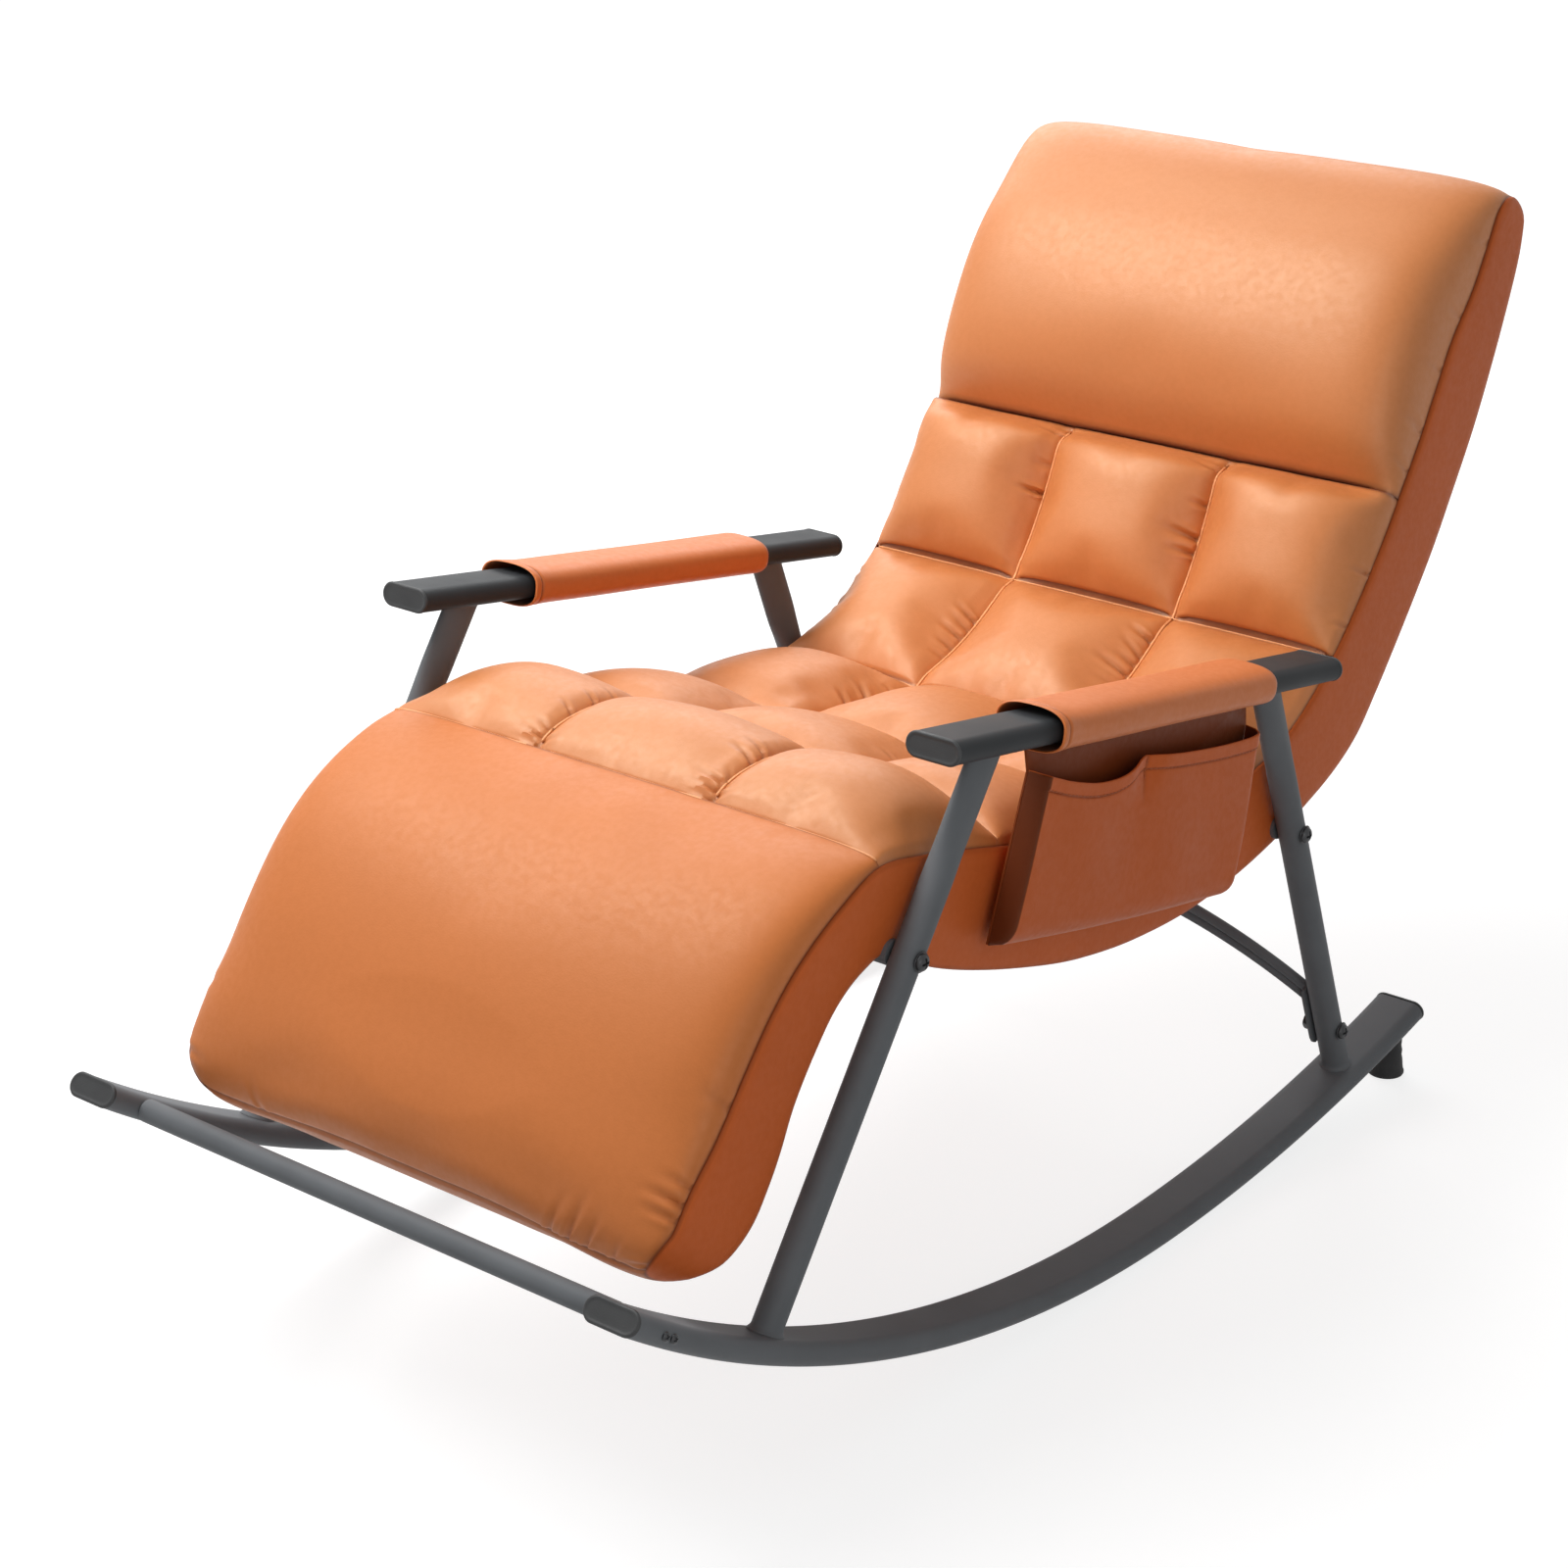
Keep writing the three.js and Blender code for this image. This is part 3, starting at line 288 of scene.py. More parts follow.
def bumped(tree, height, distance, strength, normal=None):
    values = {"Height": height, "Distance": distance, "Strength": strength}
    if normal is not None:
        values["Normal"] = normal
    return node(tree, "ShaderNodeBump", values).outputs[0]


def leather(name, light, deep, roughness=0.5, shine=0.95):
    """Smooth coated leather: fine pebble grain, soft mottling, and painted shade from a point attribute,
    which turns the colour towards the deep one.
    """
    material, tree, shader, coord = new_surface(name)
    mottle, fine = noise(tree, coord, 9, 3.0), noise(tree, coord, 160, 2.0)
    pebble = node(tree, "ShaderNodeTexVoronoi", {"Vector": coord, "Scale": 620}, feature="SMOOTH_F1")
    # The attribute read here is painted shade laid on the mesh: it darkens seams, creases, insides and lower
    # sides towards the deep colour.
    painted_shade = node(tree, "ShaderNodeAttribute", {}, attribute_name="painted_shade").outputs["Fac"]
    colour = mixed(tree, ramp(tree, mottle, 0, 1, 0.3, 0.7), linear(light), linear(light, 0.95))
    colour = mixed(tree, ramp(tree, fine, 0, 0.03, 0.35, 0.65), colour, linear(deep))
    normal = bumped(tree, pebble.outputs["Distance"], 0.0004, 0.18)
    put_in(tree, shader, {
        "Base Color": mixed(tree, ramp(tree, painted_shade, 0, 0.92), colour, linear(deep)),
        "Roughness": ramp(tree, fine, roughness - 0.05, roughness + 0.06, 0.3, 0.7),
        "Specular IOR Level": shine, "Specular Tint": (1.0, 0.92, 0.72, 1),
        "Sheen Weight": 0.05, "Sheen Tint": (1.0, 0.85, 0.62, 1), "Sheen Roughness": 0.5,
        "Normal": bumped(tree, fine, 0.0006, 0.07, normal)})
    return material


def powder_coat(name, rgb, roughness=0.55):
    """Satin powder coat: a faint orange-peel surface with slightly paler rubbed places."""
    material, tree, shader, coord = new_surface(name)
    peel, wear = noise(tree, coord, 900, 1.0), noise(tree, coord, 14, 4.0)
    put_in(tree, shader, {
        "Base Color": mixed(tree, ramp(tree, wear, 0, 1, 0.35, 0.75), linear(rgb), linear(rgb, 1.25)),
        "Roughness": ramp(tree, wear, roughness - 0.05, roughness + 0.07, 0.3, 0.7),
        "Specular IOR Level": 0.14, "Normal": bumped(tree, peel, 0.0002, 0.25)})
    return material


def moulded(name, rgb, roughness=0.6, scale=700, bump=0.3, metallic=0.0):
    """Moulded plastic, rubber, thread or plated steel with a fine texture."""
    material, tree, shader, coord = new_surface(name)
    skin, blotch = noise(tree, coord, scale, 2.0), noise(tree, coord, 40, 2.0)
    put_in(tree, shader, {
        "Base Color": mixed(tree, ramp(tree, blotch, 0, 1, 0.3, 0.7), linear(rgb), linear(rgb, 0.8)),
        "Roughness": ramp(tree, blotch, roughness - 0.05, roughness + 0.05, 0.3, 0.7),
        "Metallic": metallic, "Normal": bumped(tree, skin, 0.0003, bump)})
    return material


def woven(name, rgb, scale=420):
    """Flat woven webbing."""
    material, tree, shader, coord = new_surface(name)
    across, along = (node(tree, "ShaderNodeTexWave", {"Vector": coord, "Scale": scale},
                          bands_direction=axis).outputs["Fac"] for axis in "XY")
    both = sum_of(tree, "MULTIPLY", across, along)
    put_in(tree, shader, {"Base Color": mixed(tree, both, linear(rgb, 0.6), linear(rgb)),
                          "Roughness": 0.9, "Normal": bumped(tree, both, 0.0006, 0.5)})
    return material


# The deep colour is the painted shade in seams and creases, and it also tints a faint mottle.
TAN, TAN_DEEP = (203, 120, 61), (96, 30, 7)
pad_leather = leather("pad_leather", TAN, TAN_DEEP)
calf_leather = leather("calf_leather", (209, 119, 59), TAN_DEEP, shine=0.45)
# The welts' leather is paler than the pads' as a painted highlight along their ridges.
painted_highlight_welt_leather = leather("painted_highlight_welt_leather", (236, 160, 102), (160, 80, 32))
# The sides' leather is a shaded copy of the pad leather: a more saturated colour and low shine, tuned to how
# the sides look in shade.
shaded_side_leather = leather("shaded_side_leather", (213, 102, 44), (98, 34, 8), shine=0.2)
cover_leather = leather("cover_leather", (190, 90, 38), (96, 34, 8), roughness=0.55, shine=0.3)
sleeve_leather = leather("sleeve_leather", (210, 112, 52), (98, 34, 8), shine=0.6)
# The pocket's leather is tuned to the shaded side like the sides' leather, and its near-black deep colour is
# painted shadow in the gap beside the pouch, in its grooves and inside it.
pocket_leather = leather("pocket_leather", (204, 96, 39), (64, 22, 6), shine=0.22)
thread = moulded("stitch_thread", (178, 96, 54), roughness=0.7, scale=1800)
pale_thread = moulded("pale_stitch_thread", (222, 150, 102), roughness=0.7, scale=1800)
# The frame's coat and the arms' coat are one powder coat in two copies tuned to the light: the frame's
# lighter to lift its shaded legs and rockers, the arms' darker to tone down the light on their tops.
steel = powder_coat("dark_powder_coat", (103, 106, 109))
arm_steel = powder_coat("arm_powder_coat", (50, 52, 54))
cap_plastic = moulded("cap_plastic", (40, 41, 42), roughness=0.55)
rubber = moulded("rubber", (34, 34, 35), roughness=0.8, scale=500, bump=0.5)
bolt_steel = moulded("bolt_steel", (58, 59, 61), roughness=0.36, scale=1500, bump=0.15, metallic=0.5)
webbing = woven("webbing", (44, 44, 46))

# ==== body lines

# Places on the body are shares of its length and height, which are in millimetres. A roll is the
# centre, radius and first and last angle of the rounded foot or head end.
BODY_LENGTH, BODY_HEIGHT, BODY_FRONT, BODY_BASE = 1284, 640, 679, 219
FOOT_ROLL, FOOT_RADIUS, FOOT_ANGLES = (0.046, 0.0453), 28, (-90, -230)
HEAD_ROLL, HEAD_RADIUS, HEAD_ANGLES = (0.975, 0.930), 30, (150, 0)
SEAM = [
    (0.048, 0.122), (0.073, 0.173), (0.099, 0.239), (0.124, 0.298), (0.151, 0.345), (0.186, 0.386),
    (0.226, 0.416), (0.270, 0.403), (0.315, 0.381), (0.361, 0.356), (0.428, 0.323), (0.495, 0.295),
    (0.560, 0.277), (0.622, 0.267), (0.669, 0.280), (0.708, 0.311), (0.744, 0.361), (0.774, 0.419),
    (0.801, 0.481), (0.825, 0.544), (0.843, 0.598), (0.863, 0.658), (0.882, 0.725), (0.902, 0.794),
    (0.930, 0.864),
]
UNDERSIDE = [
    (0.055, 0.000), (0.082, 0.006), (0.104, 0.031), (0.120, 0.072), (0.131, 0.109), (0.144, 0.161),
    (0.164, 0.216), (0.185, 0.261), (0.210, 0.289), (0.237, 0.295), (0.280, 0.244), (0.339, 0.197),
    (0.412, 0.152), (0.463, 0.130), (0.514, 0.117), (0.575, 0.113), (0.637, 0.125), (0.692, 0.148),
    (0.727, 0.172), (0.766, 0.202), (0.798, 0.241), (0.823, 0.295), (0.848, 0.356), (0.874, 0.423),
    (0.895, 0.481), (0.915, 0.545), (0.943, 0.639), (0.965, 0.730), (0.984, 0.820), (0.995, 0.884),
]
# The six seams across the tufted field, from the knee up: share of the body's length; shift along the side
# seam, arch above it and distance of the column seams from the middle, in millimetres; strength of the
# painted shade; depth and width of the groove; depth and width of the wide tuck, in millimetres.
ROW_SEAMS = [0.226, 0.3575, 0.4945, 0.6295, 0.75, 0.8355]
ROW_MOVES = [0, -10, -14, 8, 11, 6]
ROW_ARCHES = [12, 16, 15, 13, 11, 44]
ROW_COLUMNS = [95, 95, 95, 95, 92, 90]
SEAM_SHADES = [0.05, 0.3, 0.3, 0.9, 1.0, 1.0]
SEAM_GROOVES = [0.5, 1.4, 1.4, 3.0, 5.0, 1.4]
SEAM_WIDTHS = [1.4, 1.6, 1.6, 2.4, 3.6, 5.2]
SEAM_TUCKS = [(1, 8), (5, 10), (4, 10), (4, 10), (5, 10), (25, 16)]
# The five rows of cells between them: height in millimetres, place of the crest along the row,
# fullness along and across the row, and share of the height that the column seams keep.
ROW_PUFFS = [41, 27, 26, 31, 30]
ROW_CRESTS = [0.51, 0.38, 0.50, 0.50, 0.48]
ROW_POWERS = [2.0, 2.1, 2.2, 2.8, 3.0]
ROW_PLATEAUS = [2.0, 2.0, 2.0, 2.6, 2.6]
SEAM_HEIGHTS = [0.74, 0.40, 0.0, 0.22, -0.28]
# Share of the cells' height before they are filled, and the slack of the covers.
START_SHARE, TUFT_SLACK, PAD_SLACK = 0.9, 0.02, 0.006
# Half widths of the padding and of the body, the calf and head pads' column place, the foam's depth.
HALF_WIDTH = 0.2637
PANEL_OUT = 0.2665
COLUMN = 0.095
FOAM = 0.026


def body_points(shares):
    """Side-plane places from shares of the body's length and height."""
    s = np.atleast_2d(np.array(shares, float))
    return row(np.stack([s[:, 0] * BODY_LENGTH - BODY_FRONT, BODY_BASE + s[:, 1] * BODY_HEIGHT], 1))


def roll(centre, radius, start, end, count):
    """Points of a rounded end and their outward directions."""
    a = np.radians(np.linspace(start, end, count))
    out = np.stack([np.cos(a), np.sin(a)], 1)
    return body_points(centre) + out * radius * MM, out


foot_under, foot_seam = FOOT_ANGLES
head_seam, head_under = HEAD_ANGLES
seam_line = smooth_line(np.vstack([
    roll(FOOT_ROLL, FOOT_RADIUS, foot_seam, foot_seam, 1)[0], body_points(SEAM),
    roll(HEAD_ROLL, HEAD_RADIUS, head_seam, head_seam, 1)[0]]))
under_line = smooth_line(np.vstack([
    roll(FOOT_ROLL, FOOT_RADIUS, foot_under, foot_under, 1)[0], body_points(UNDERSIDE),
    roll(HEAD_ROLL, HEAD_RADIUS, head_under, head_under, 1)[0]]))
seam_s = lengths(seam_line)
SEAM_LENGTH = seam_s[-1]
row_y = body_points([(s, 0) for s in ROW_SEAMS])[:, 0]
row_s = np.interp(row_y, seam_line[:, 0], seam_s) + np.array(ROW_MOVES) * MM


def seam_places(s):
    """Rim points and outward directions at lengths along the side seam."""
    rim = at_lengths(seam_line, s)
    step = 0.004
    d = (at_lengths(seam_line, np.minimum(s + step, SEAM_LENGTH))
         - at_lengths(seam_line, np.maximum(s - step, 0)))
    d /= np.linalg.norm(d, axis=1)[:, None]
    return rim, left_of(d)


def bump(t, power=2.5):
    """0 at t = 0 and 1, and 1 halfway."""
    return 1 - np.abs(2 * t - 1) ** power


def edge_rise(u):
    """1 in the middle, falling steeply to 0 at the padding's edge."""
    return np.maximum(0, 1 - np.abs(u) ** 8) ** 0.35


def near(distance, width):
    """1 at no distance, falling off smoothly over the width."""
    return np.exp(-(distance / width) ** 2)


def rounded(distance, radius):
    """0 to 1 as a quarter round over the radius."""
    return np.sqrt(np.clip(1 - (1 - np.clip(distance / radius, 0, 1)) ** 2, 0, 1))


# ==== padding

class Pad:
    """A sheet over the padding: rows along the side seam, columns across, before it is filled."""

    def __init__(self, rim, out, arch, column_spans, columns=None):
        self.rim, self.out, self.rows = rim, out, len(rim)
        self.columns = np.full(self.rows, COLUMN) if columns is None else columns
        first, second = column_spans
        u = np.linspace(0, 1, 1200)
        points = []
        for seam_x, height in zip(self.columns, arch):
            line = np.stack([u * HALF_WIDTH, height * edge_rise(u)], 1)
            s = lengths(line)
            seam_at = np.interp(seam_x, line[:, 0], s)
            half = at_lengths(line, np.concatenate([np.linspace(0, seam_at, first + 1),
                                                    np.linspace(seam_at, s[-1], second + 1)[1:]]))
            points.append(np.vstack([half[:0:-1] * [-1, 1], half]))
        self.cross = np.array(points)
        self.cols = self.cross.shape[1]
        self.seams = [second, self.cols - 1 - second]
        self.lift = np.zeros((self.rows, self.cols))

    def pins(self, rows, cols=()):
        """The points that stay where they are: both sides, and the named rows and columns."""
        pin = np.zeros((self.rows, self.cols), bool)
        pin[:, [0, -1, *cols]] = True
        pin[rows] = True
        return pin

    def surface(self):
        height = (self.cross[..., 1] + self.lift)[..., None]
        return np.dstack([self.cross[..., 0], self.rim[:, None] + self.out[:, None] * height])


MOST_SLACK = 0.25


def inflate(name, points, pin, slack, pressure, soften, frames=20, cap=0.03, bending=0.6):
    """Fills a sheet by a cloth simulation held at its pinned points; returns its new points."""
    rows, cols = points.shape[:2]
    mesh = bpy.data.meshes.new(name)
    mesh.from_pydata(points.reshape(-1, 3).tolist(), [], grid_faces(rows, cols))
    cloth = bpy.data.objects.new(name, mesh)
    scene.collection.objects.link(cloth)
    cloth.vertex_groups.new(name="pin").add(np.flatnonzero(pin).tolist(), 1.0, "REPLACE")
    cloth.vertex_groups.new(name="slack").add(list(range(rows * cols)), 1 - slack / MOST_SLACK, "REPLACE")
    modifier = cloth.modifiers.new("Cloth", "CLOTH")
    s = modifier.settings
    s.quality = 7
    s.mass = 0.15
    s.air_damping = 3
    s.tension_stiffness = s.compression_stiffness = 25
    s.shear_stiffness = 8
    s.bending_stiffness = bending
    s.tension_damping = s.compression_damping = 8
    s.vertex_group_mass = "pin"
    s.vertex_group_shrink = "slack"
    s.shrink_min, s.shrink_max = -MOST_SLACK, 0.0
    s.use_pressure = True
    s.uniform_pressure_force = pressure
    s.effector_weights.gravity = 0
    modifier.collision_settings.use_collision = False
    modifier.point_cache.frame_start, modifier.point_cache.frame_end = 1, frames
    for step in range(1, frames + 1):
        scene.frame_set(step)
    found = cloth.evaluated_get(bpy.context.evaluated_depsgraph_get())
    result = np.array([v.co for v in found.data.vertices]).reshape(points.shape)
    bpy.data.objects.remove(cloth)
    bpy.data.meshes.remove(mesh)
    scene.frame_set(1)
    move = result - points
    for _ in range(soften):
        wide = np.pad(move, ((1, 1), (1, 1), (0, 0)), mode="edge")
        mean = (wide[:-2, 1:-1] + wide[2:, 1:-1] + wide[1:-1, :-2] + wide[1:-1, 2:]) / 4
        move = np.where(pin[..., None], move, (move + mean) / 2)
    size = np.linalg.norm(move, axis=2, keepdims=True)
    return points + move * np.minimum(1, cap / np.maximum(size, 1e-9))


def split_rows(p):
    """Puts a smooth halfway row between each two rows."""
    middle = (p[:-1] + p[1:]) / 2
    middle[1:-1] = (9 * (p[1:-2] + p[2:-1]) - p[:-3] - p[3:]) / 16
    out = np.zeros((2 * len(p) - 1,) + p.shape[1:])
    out[::2], out[1::2] = p, middle
    return out


def split_between(p, breaks):
    """Halves the spacing of the rows, smooth between the breaks and sharp at them."""
    blocks = [split_rows(p[a:b + 1])[:-1] for a, b in zip(breaks[:-1], breaks[1:])]
    return np.concatenate(blocks + [p[-1:]])


def refined(points, row_breaks, col_breaks):
    """One level of subdivision of an open grid; the seams stay sharp."""
    points = split_between(points, row_breaks)
    return split_between(points.swapaxes(0, 1), col_breaks).swapaxes(0, 1)


def normals_of(points):
    """Outward directions of a grid of points."""
    n = np.cross(np.gradient(points, axis=1), np.gradient(points, axis=0))
    n /= np.maximum(np.linalg.norm(n, axis=2, keepdims=True), 1e-12)
    return -n if (n[..., 2].mean() < 0) else n


FOOT_CORNER, HEAD_CORNER = 46 * MM, 40 * MM
FOOT_INWARD, HEAD_INWARD = np.array([0.72, 0.694]), np.array([-0.454, -0.891])
FOOT_END, HEAD_END = 34 * MM, 54 * MM


def cornered(body):
    """A body with the chair's corners rounded at its foot and head ends, seen along its thickness."""
    points = np.array(body[0])
    for centre, inward, reach, radius in ((FOOT_ROLL, FOOT_INWARD, FOOT_END, FOOT_CORNER),
                                          (HEAD_ROLL, HEAD_INWARD, HEAD_END, HEAD_CORNER)):
        q = (points[..., 1:] - body_points(centre)[0]) @ inward + reach
        q = np.clip(q, 0.0005, radius)
        points[..., 0] *= 1 - (radius - np.sqrt(radius ** 2 - (radius - q) ** 2)) / PANEL_OUT
    return points, body[1]


def closed_pad(name, points, rim, out, material, nodes, painted_shade):
    """Closes a filled sheet with a flat lower side under its rim."""
    rows, cols = points.shape[:2]
    lower = [np.column_stack([np.full(rows, x), rim - out * FOAM]) for x in (-HALF_WIDTH, HALF_WIDTH)]
    faces = grid_faces(rows, cols)
    left = rows * cols
    right = left + rows
    for r in range(rows - 1):
        faces.append((r * cols, (r + 1) * cols, left + r + 1, left + r))
        faces.append(((r + 1) * cols - 1, (r + 2) * cols - 1, right + r + 1, right + r))
        faces.append((left + r, left + r + 1, right + r + 1, right + r))
    for r in (0, rows - 1):
        faces.append(tuple(range(r * cols, (r + 1) * cols)) + (right + r, left + r))
    # The flat lower side's points carry full painted shade.
    piece = mesh_piece(name, cornered((np.vstack([points.reshape(-1, 3), *lower]), faces)), material,
                       stands_for=nodes, slot="padded_leather", sharp=50,
                       painted_shade=np.concatenate([painted_shade.ravel(), np.ones(2 * rows)]))


def across_lengths(points):
    """Length along each row of a grid at each of its points."""
    step = np.linalg.norm(np.diff(points, axis=1), axis=2)
    return np.concatenate([np.zeros((len(points), 1)), np.cumsum(step, axis=1)], 1)


def pillow(a, power=2.3, fall=0.75):
    """Crowned profile over a from -1 to 1."""
    return (1 - np.abs(np.clip(a, -1, 1)) ** power) ** fall


def make_tufted():
    """The tufted field of three cells in five rows: filled between its pinned seams."""
    row_spacing = 0.0076
    s_values, seam_rows = [], [0]
    for a, b in zip(row_s[:-1], row_s[1:]):
        count = int(round((b - a) / row_spacing))
        s_values += list(np.linspace(a, b, count, endpoint=False))
        seam_rows.append(len(s_values))
    s_values = np.array(s_values + [row_s[-1]])
    arch = np.interp(s_values, row_s, np.array(ROW_ARCHES) * MM)
    rim, out = seam_places(s_values)
    pad = Pad(rim, out, arch, (13, 24), np.interp(s_values, row_s, np.array(ROW_COLUMNS) * MM))
    x = pad.cross[..., 0]
    inside = 1 - (np.abs(x) / HALF_WIDTH) ** 8
    for k in range(5):
        a, b = seam_rows[k], seam_rows[k + 1]
        share = ((np.arange(a, b + 1) - a) / (b - a)) ** (math.log(0.5) / math.log(ROW_CRESTS[k]))
        along = pillow(2 * share - 1, ROW_POWERS[k], 0.8)[:, None]
        u, column = np.abs(x[a:b + 1]), pad.columns[a:b + 1, None]
        held = SEAM_HEIGHTS[k]
        a_side = 2 * (u - column) / (HALF_WIDTH - column) - 1
        inner = held + (1 - held) * pillow(np.where(u <= column, u / column, a_side), ROW_PLATEAUS[k], 0.9)
        across = np.where((u > column) & (a_side > 0), pillow(a_side, ROW_PLATEAUS[k], 0.9), inner)
        pad.lift[a:b + 1] = ROW_PUFFS[k] * MM * START_SHARE * along * across
    for seam_at, (depth, width) in zip(row_s, SEAM_TUCKS):
        pad.lift -= depth * MM * near(s_values[:, None] - seam_at, width * MM) * inside
    pad.lift -= 3 * MM * near(np.abs(x) - COLUMN, 0.008) * inside
    points = pad.surface()
    pin = pad.pins(seam_rows, pad.seams)
    points = inflate("tuft_cloth", points, pin, TUFT_SLACK, 5.0, 4, bending=3.0)
    return pad, points, seam_rows


tuft_pad, tuft_points, tuft_rows = make_tufted()


# Gathers: by row, seam (1 beside the middle, 2 at the side, negative to the sitter's right) and the
# side of the seam they run to: place along the row as a share, length and depth in millimetres,
# lean, and half width in millimetres.
GATHERS = {
    (0, -1, -1): [(0.02, 34, 2.4, 0.10, 2.2), (0.06, 38, 3.0, 0.14, 2.4), (0.125, 27, 2.6, 0.26, 2.3),
                  (0.28, 27, 3.0, 0.30, 2.3), (0.43, 26, 3.2, 0.25, 2.3), (0.57, 24, 2.8, 0.12, 2.3)],
    (0, 1, -1): [(0.02, 34, 2.6, 0.04, 2.2), (0.065, 40, 3.0, 0.08, 2.4), (0.12, 40, 3.4, 0.10, 2.8),
                 (0.17, 18, 2.2, 0.80, 2.2), (0.32, 38, 4.0, 0.20, 3.0), (0.40, 36, 3.4, 0.28, 2.6)],
    (0, 1, 1): [(0.05, 22, 1.8, 0.60, 2.4), (0.10, 16, 1.4, 0.40, 2.2)],
    (0, -1, 1): [(0.05, 22, 1.8, 0.60, 2.4)],
    (1, 1, -1): [(0.50, 26, 2.6, 0.00, 2.6), (0.66, 24, 2.4, 0.10, 2.4)],
    (2, -1, -1): [(0.46, 28, 3.6, 0.26, 3.2), (0.61, 32, 4.0, 0.45, 3.4), (0.80, 16, 2.2, 0.20, 2.4)],
    (2, 1, -1): [(0.45, 28, 3.2, 0.20, 3.0), (0.62, 28, 3.0, 0.30, 3.0)],
    (3, -1, -1): [(0.585, 34, 3.8, 0.26, 2.3), (0.525, 31, 2.8, 0.21, 2.2), (0.462, 36, 3.8, 0.13, 2.4),
                  (0.385, 28, 3.0, 0.05, 2.3), (0.31, 21, 2.0, -0.10, 2.2)],
    (3, 1, -1): [(0.737, 32, 4.2, 0.25, 2.8), (0.625, 34, 3.0, 0.40, 2.3), (0.57, 29, 3.0, 0.16, 2.2),
                 (0.50, 46, 3.8, 0.13, 2.6), (0.42, 38, 2.0, -0.10, 2.6)],
    (4, -1, -1): [(0.526, 34, 4.6, -0.12, 2.2), (0.86, 36, 2.6, 0.20, 3.4), (0.66, 28, 1.4, -0.10, 3.4)],
    (4, 1, -1): [(0.83, 38, 2.6, 0.26, 3.2), (0.634, 26, 3.0, -0.05, 2.5), (0.475, 40, 4.6, -0.05, 3.2),
                 (0.405, 36, 3.4, -0.16, 2.6)],
    (4, 2, -1): [(0.526, 30, 2.8, -0.18, 2.3), (0.256, 22, 2.4, -0.30, 2.3)],
    (4, -2, 1): [(0.35, 26, 2.0, 0.10, 3.0), (0.68, 26, 2.0, -0.10, 3.0)],
    (3, -2, 1): [(0.30, 26, 2.4, 0.00, 3.0), (0.52, 30, 2.8, 0.00, 3.2), (0.74, 24, 2.2, 0.00, 3.0)],
    (2, -2, 1): [(0.40, 26, 2.0, 0.00, 3.2), (0.65, 24, 2.0, 0.00, 3.2)],
}


def gather(points, folds, s, w, seam_cols, seam_rows):
    """Presses the gathers' grooves in between low ridges, fading from the seam; also the painted shade in
    their grooves.
    """
    lift, shade = np.zeros(points.shape[:2]), np.zeros(points.shape[:2])
    for (row_index, seam, side), group in folds.items():
        c = seam_cols[seam]
        a, b = s[seam_rows[row_index]], s[seam_rows[row_index + 1]]
        for share, length, depth, lean, half in group:
            along = (s[:, None] - (a + (b - a) * share)) * 1000
            away = (w - w[:, c:c + 1]) * side * 1000
            turn = math.hypot(1, lean)
            t = np.clip((away + along * lean) / turn / length, 0, 1)
            q = (along - away * lean) / turn / (half * (0.85 + 0.5 * t))
            fade = np.minimum(1, t / 0.06) * (1 - t) ** 1.2 * (away > 0)
            lift += depth * MM * fade * (0.6 * (near(q - 1.9, 1) + near(q + 1.9, 1)) - near(q, 1))
            shade = np.maximum(shade, 0.13 * depth * fade * near(q, 0.8))
    return points + normals_of(points) * lift[..., None], shade


def finish_tufted():
    """Adds the gathers, the narrow tucks of the seams and painted shade in the creases."""
    points, cols = tuft_points, tuft_pad.cols
    seam_rows, seam_cols = list(tuft_rows), [0, *tuft_pad.seams, cols - 1]
    rim, out = tuft_pad.rim, tuft_pad.out
    for _ in range(2):
        points = refined(points, seam_rows, seam_cols)
        rim, out = split_rows(rim), split_rows(out)
        seam_rows, seam_cols = [2 * r for r in seam_rows], [2 * c for c in seam_cols]
    rows, cols = points.shape[:2]
    s = lengths(points[:, cols // 2])
    w = across_lengths(points)
    columns = dict(zip((-2, -1, 1, 2), seam_cols))
    points, painted_shade = gather(points, GATHERS, s, w, columns, seam_rows)
    pinch = np.zeros((rows, cols))
    whole = np.ones(cols)
    beside = np.min([np.abs(w - w[:, c:c + 1]) for c in seam_cols[1:-1]], axis=0)
    # Painted shade along the row seams: above the deep ones, broken at the column nodes, and on the others
    # along the seam.
    for r, dark, depth, wide in zip(seam_rows, SEAM_SHADES, SEAM_GROOVES, SEAM_WIDTHS):
        away = (s - s[r])[:, None] * whole
        if depth > 2:
            above = near(away - 0.7 * wide * MM, wide * MM) * (1 - 0.8 * near(beside, 0.005))
            painted_shade = np.maximum(painted_shade, dark * above)
            pinch = np.maximum(pinch, depth * above)
        else:
            painted_shade = np.maximum(painted_shade, dark * near(away, wide * MM))
            pinch = np.maximum(pinch, depth * near(away, 0.0030))
    # Painted shade along the column seams and along both sides.
    painted_shade = np.maximum(painted_shade, 0.35 * near(beside, 0.0016))
    pinch = np.maximum(pinch, 1.2 * near(beside, 0.0028))
    for c in (0, cols - 1):
        painted_shade = np.maximum(painted_shade, 0.75 * near(w - w[:, c:c + 1], 0.0018))
    points = points - normals_of(points) * (pinch * MM)[..., None]
    outward = normals_of(points)
    lines = [(points + outward * 0.0012)[3:-3, c] for c in seam_cols[1:-1]]
    closed_pad("tufted_pad", points, rim, out, pad_leather,
               ["seat_cushion_front", "seat_cushion_middle", "seat_cushion_rear",
                "lumbar_cushion", "back_cushion"], painted_shade)
    return lines, [(points + outward * 0.0008)[r, 3:-3] for r in seam_rows[:-1]]


column_lines, row_lines = finish_tufted()


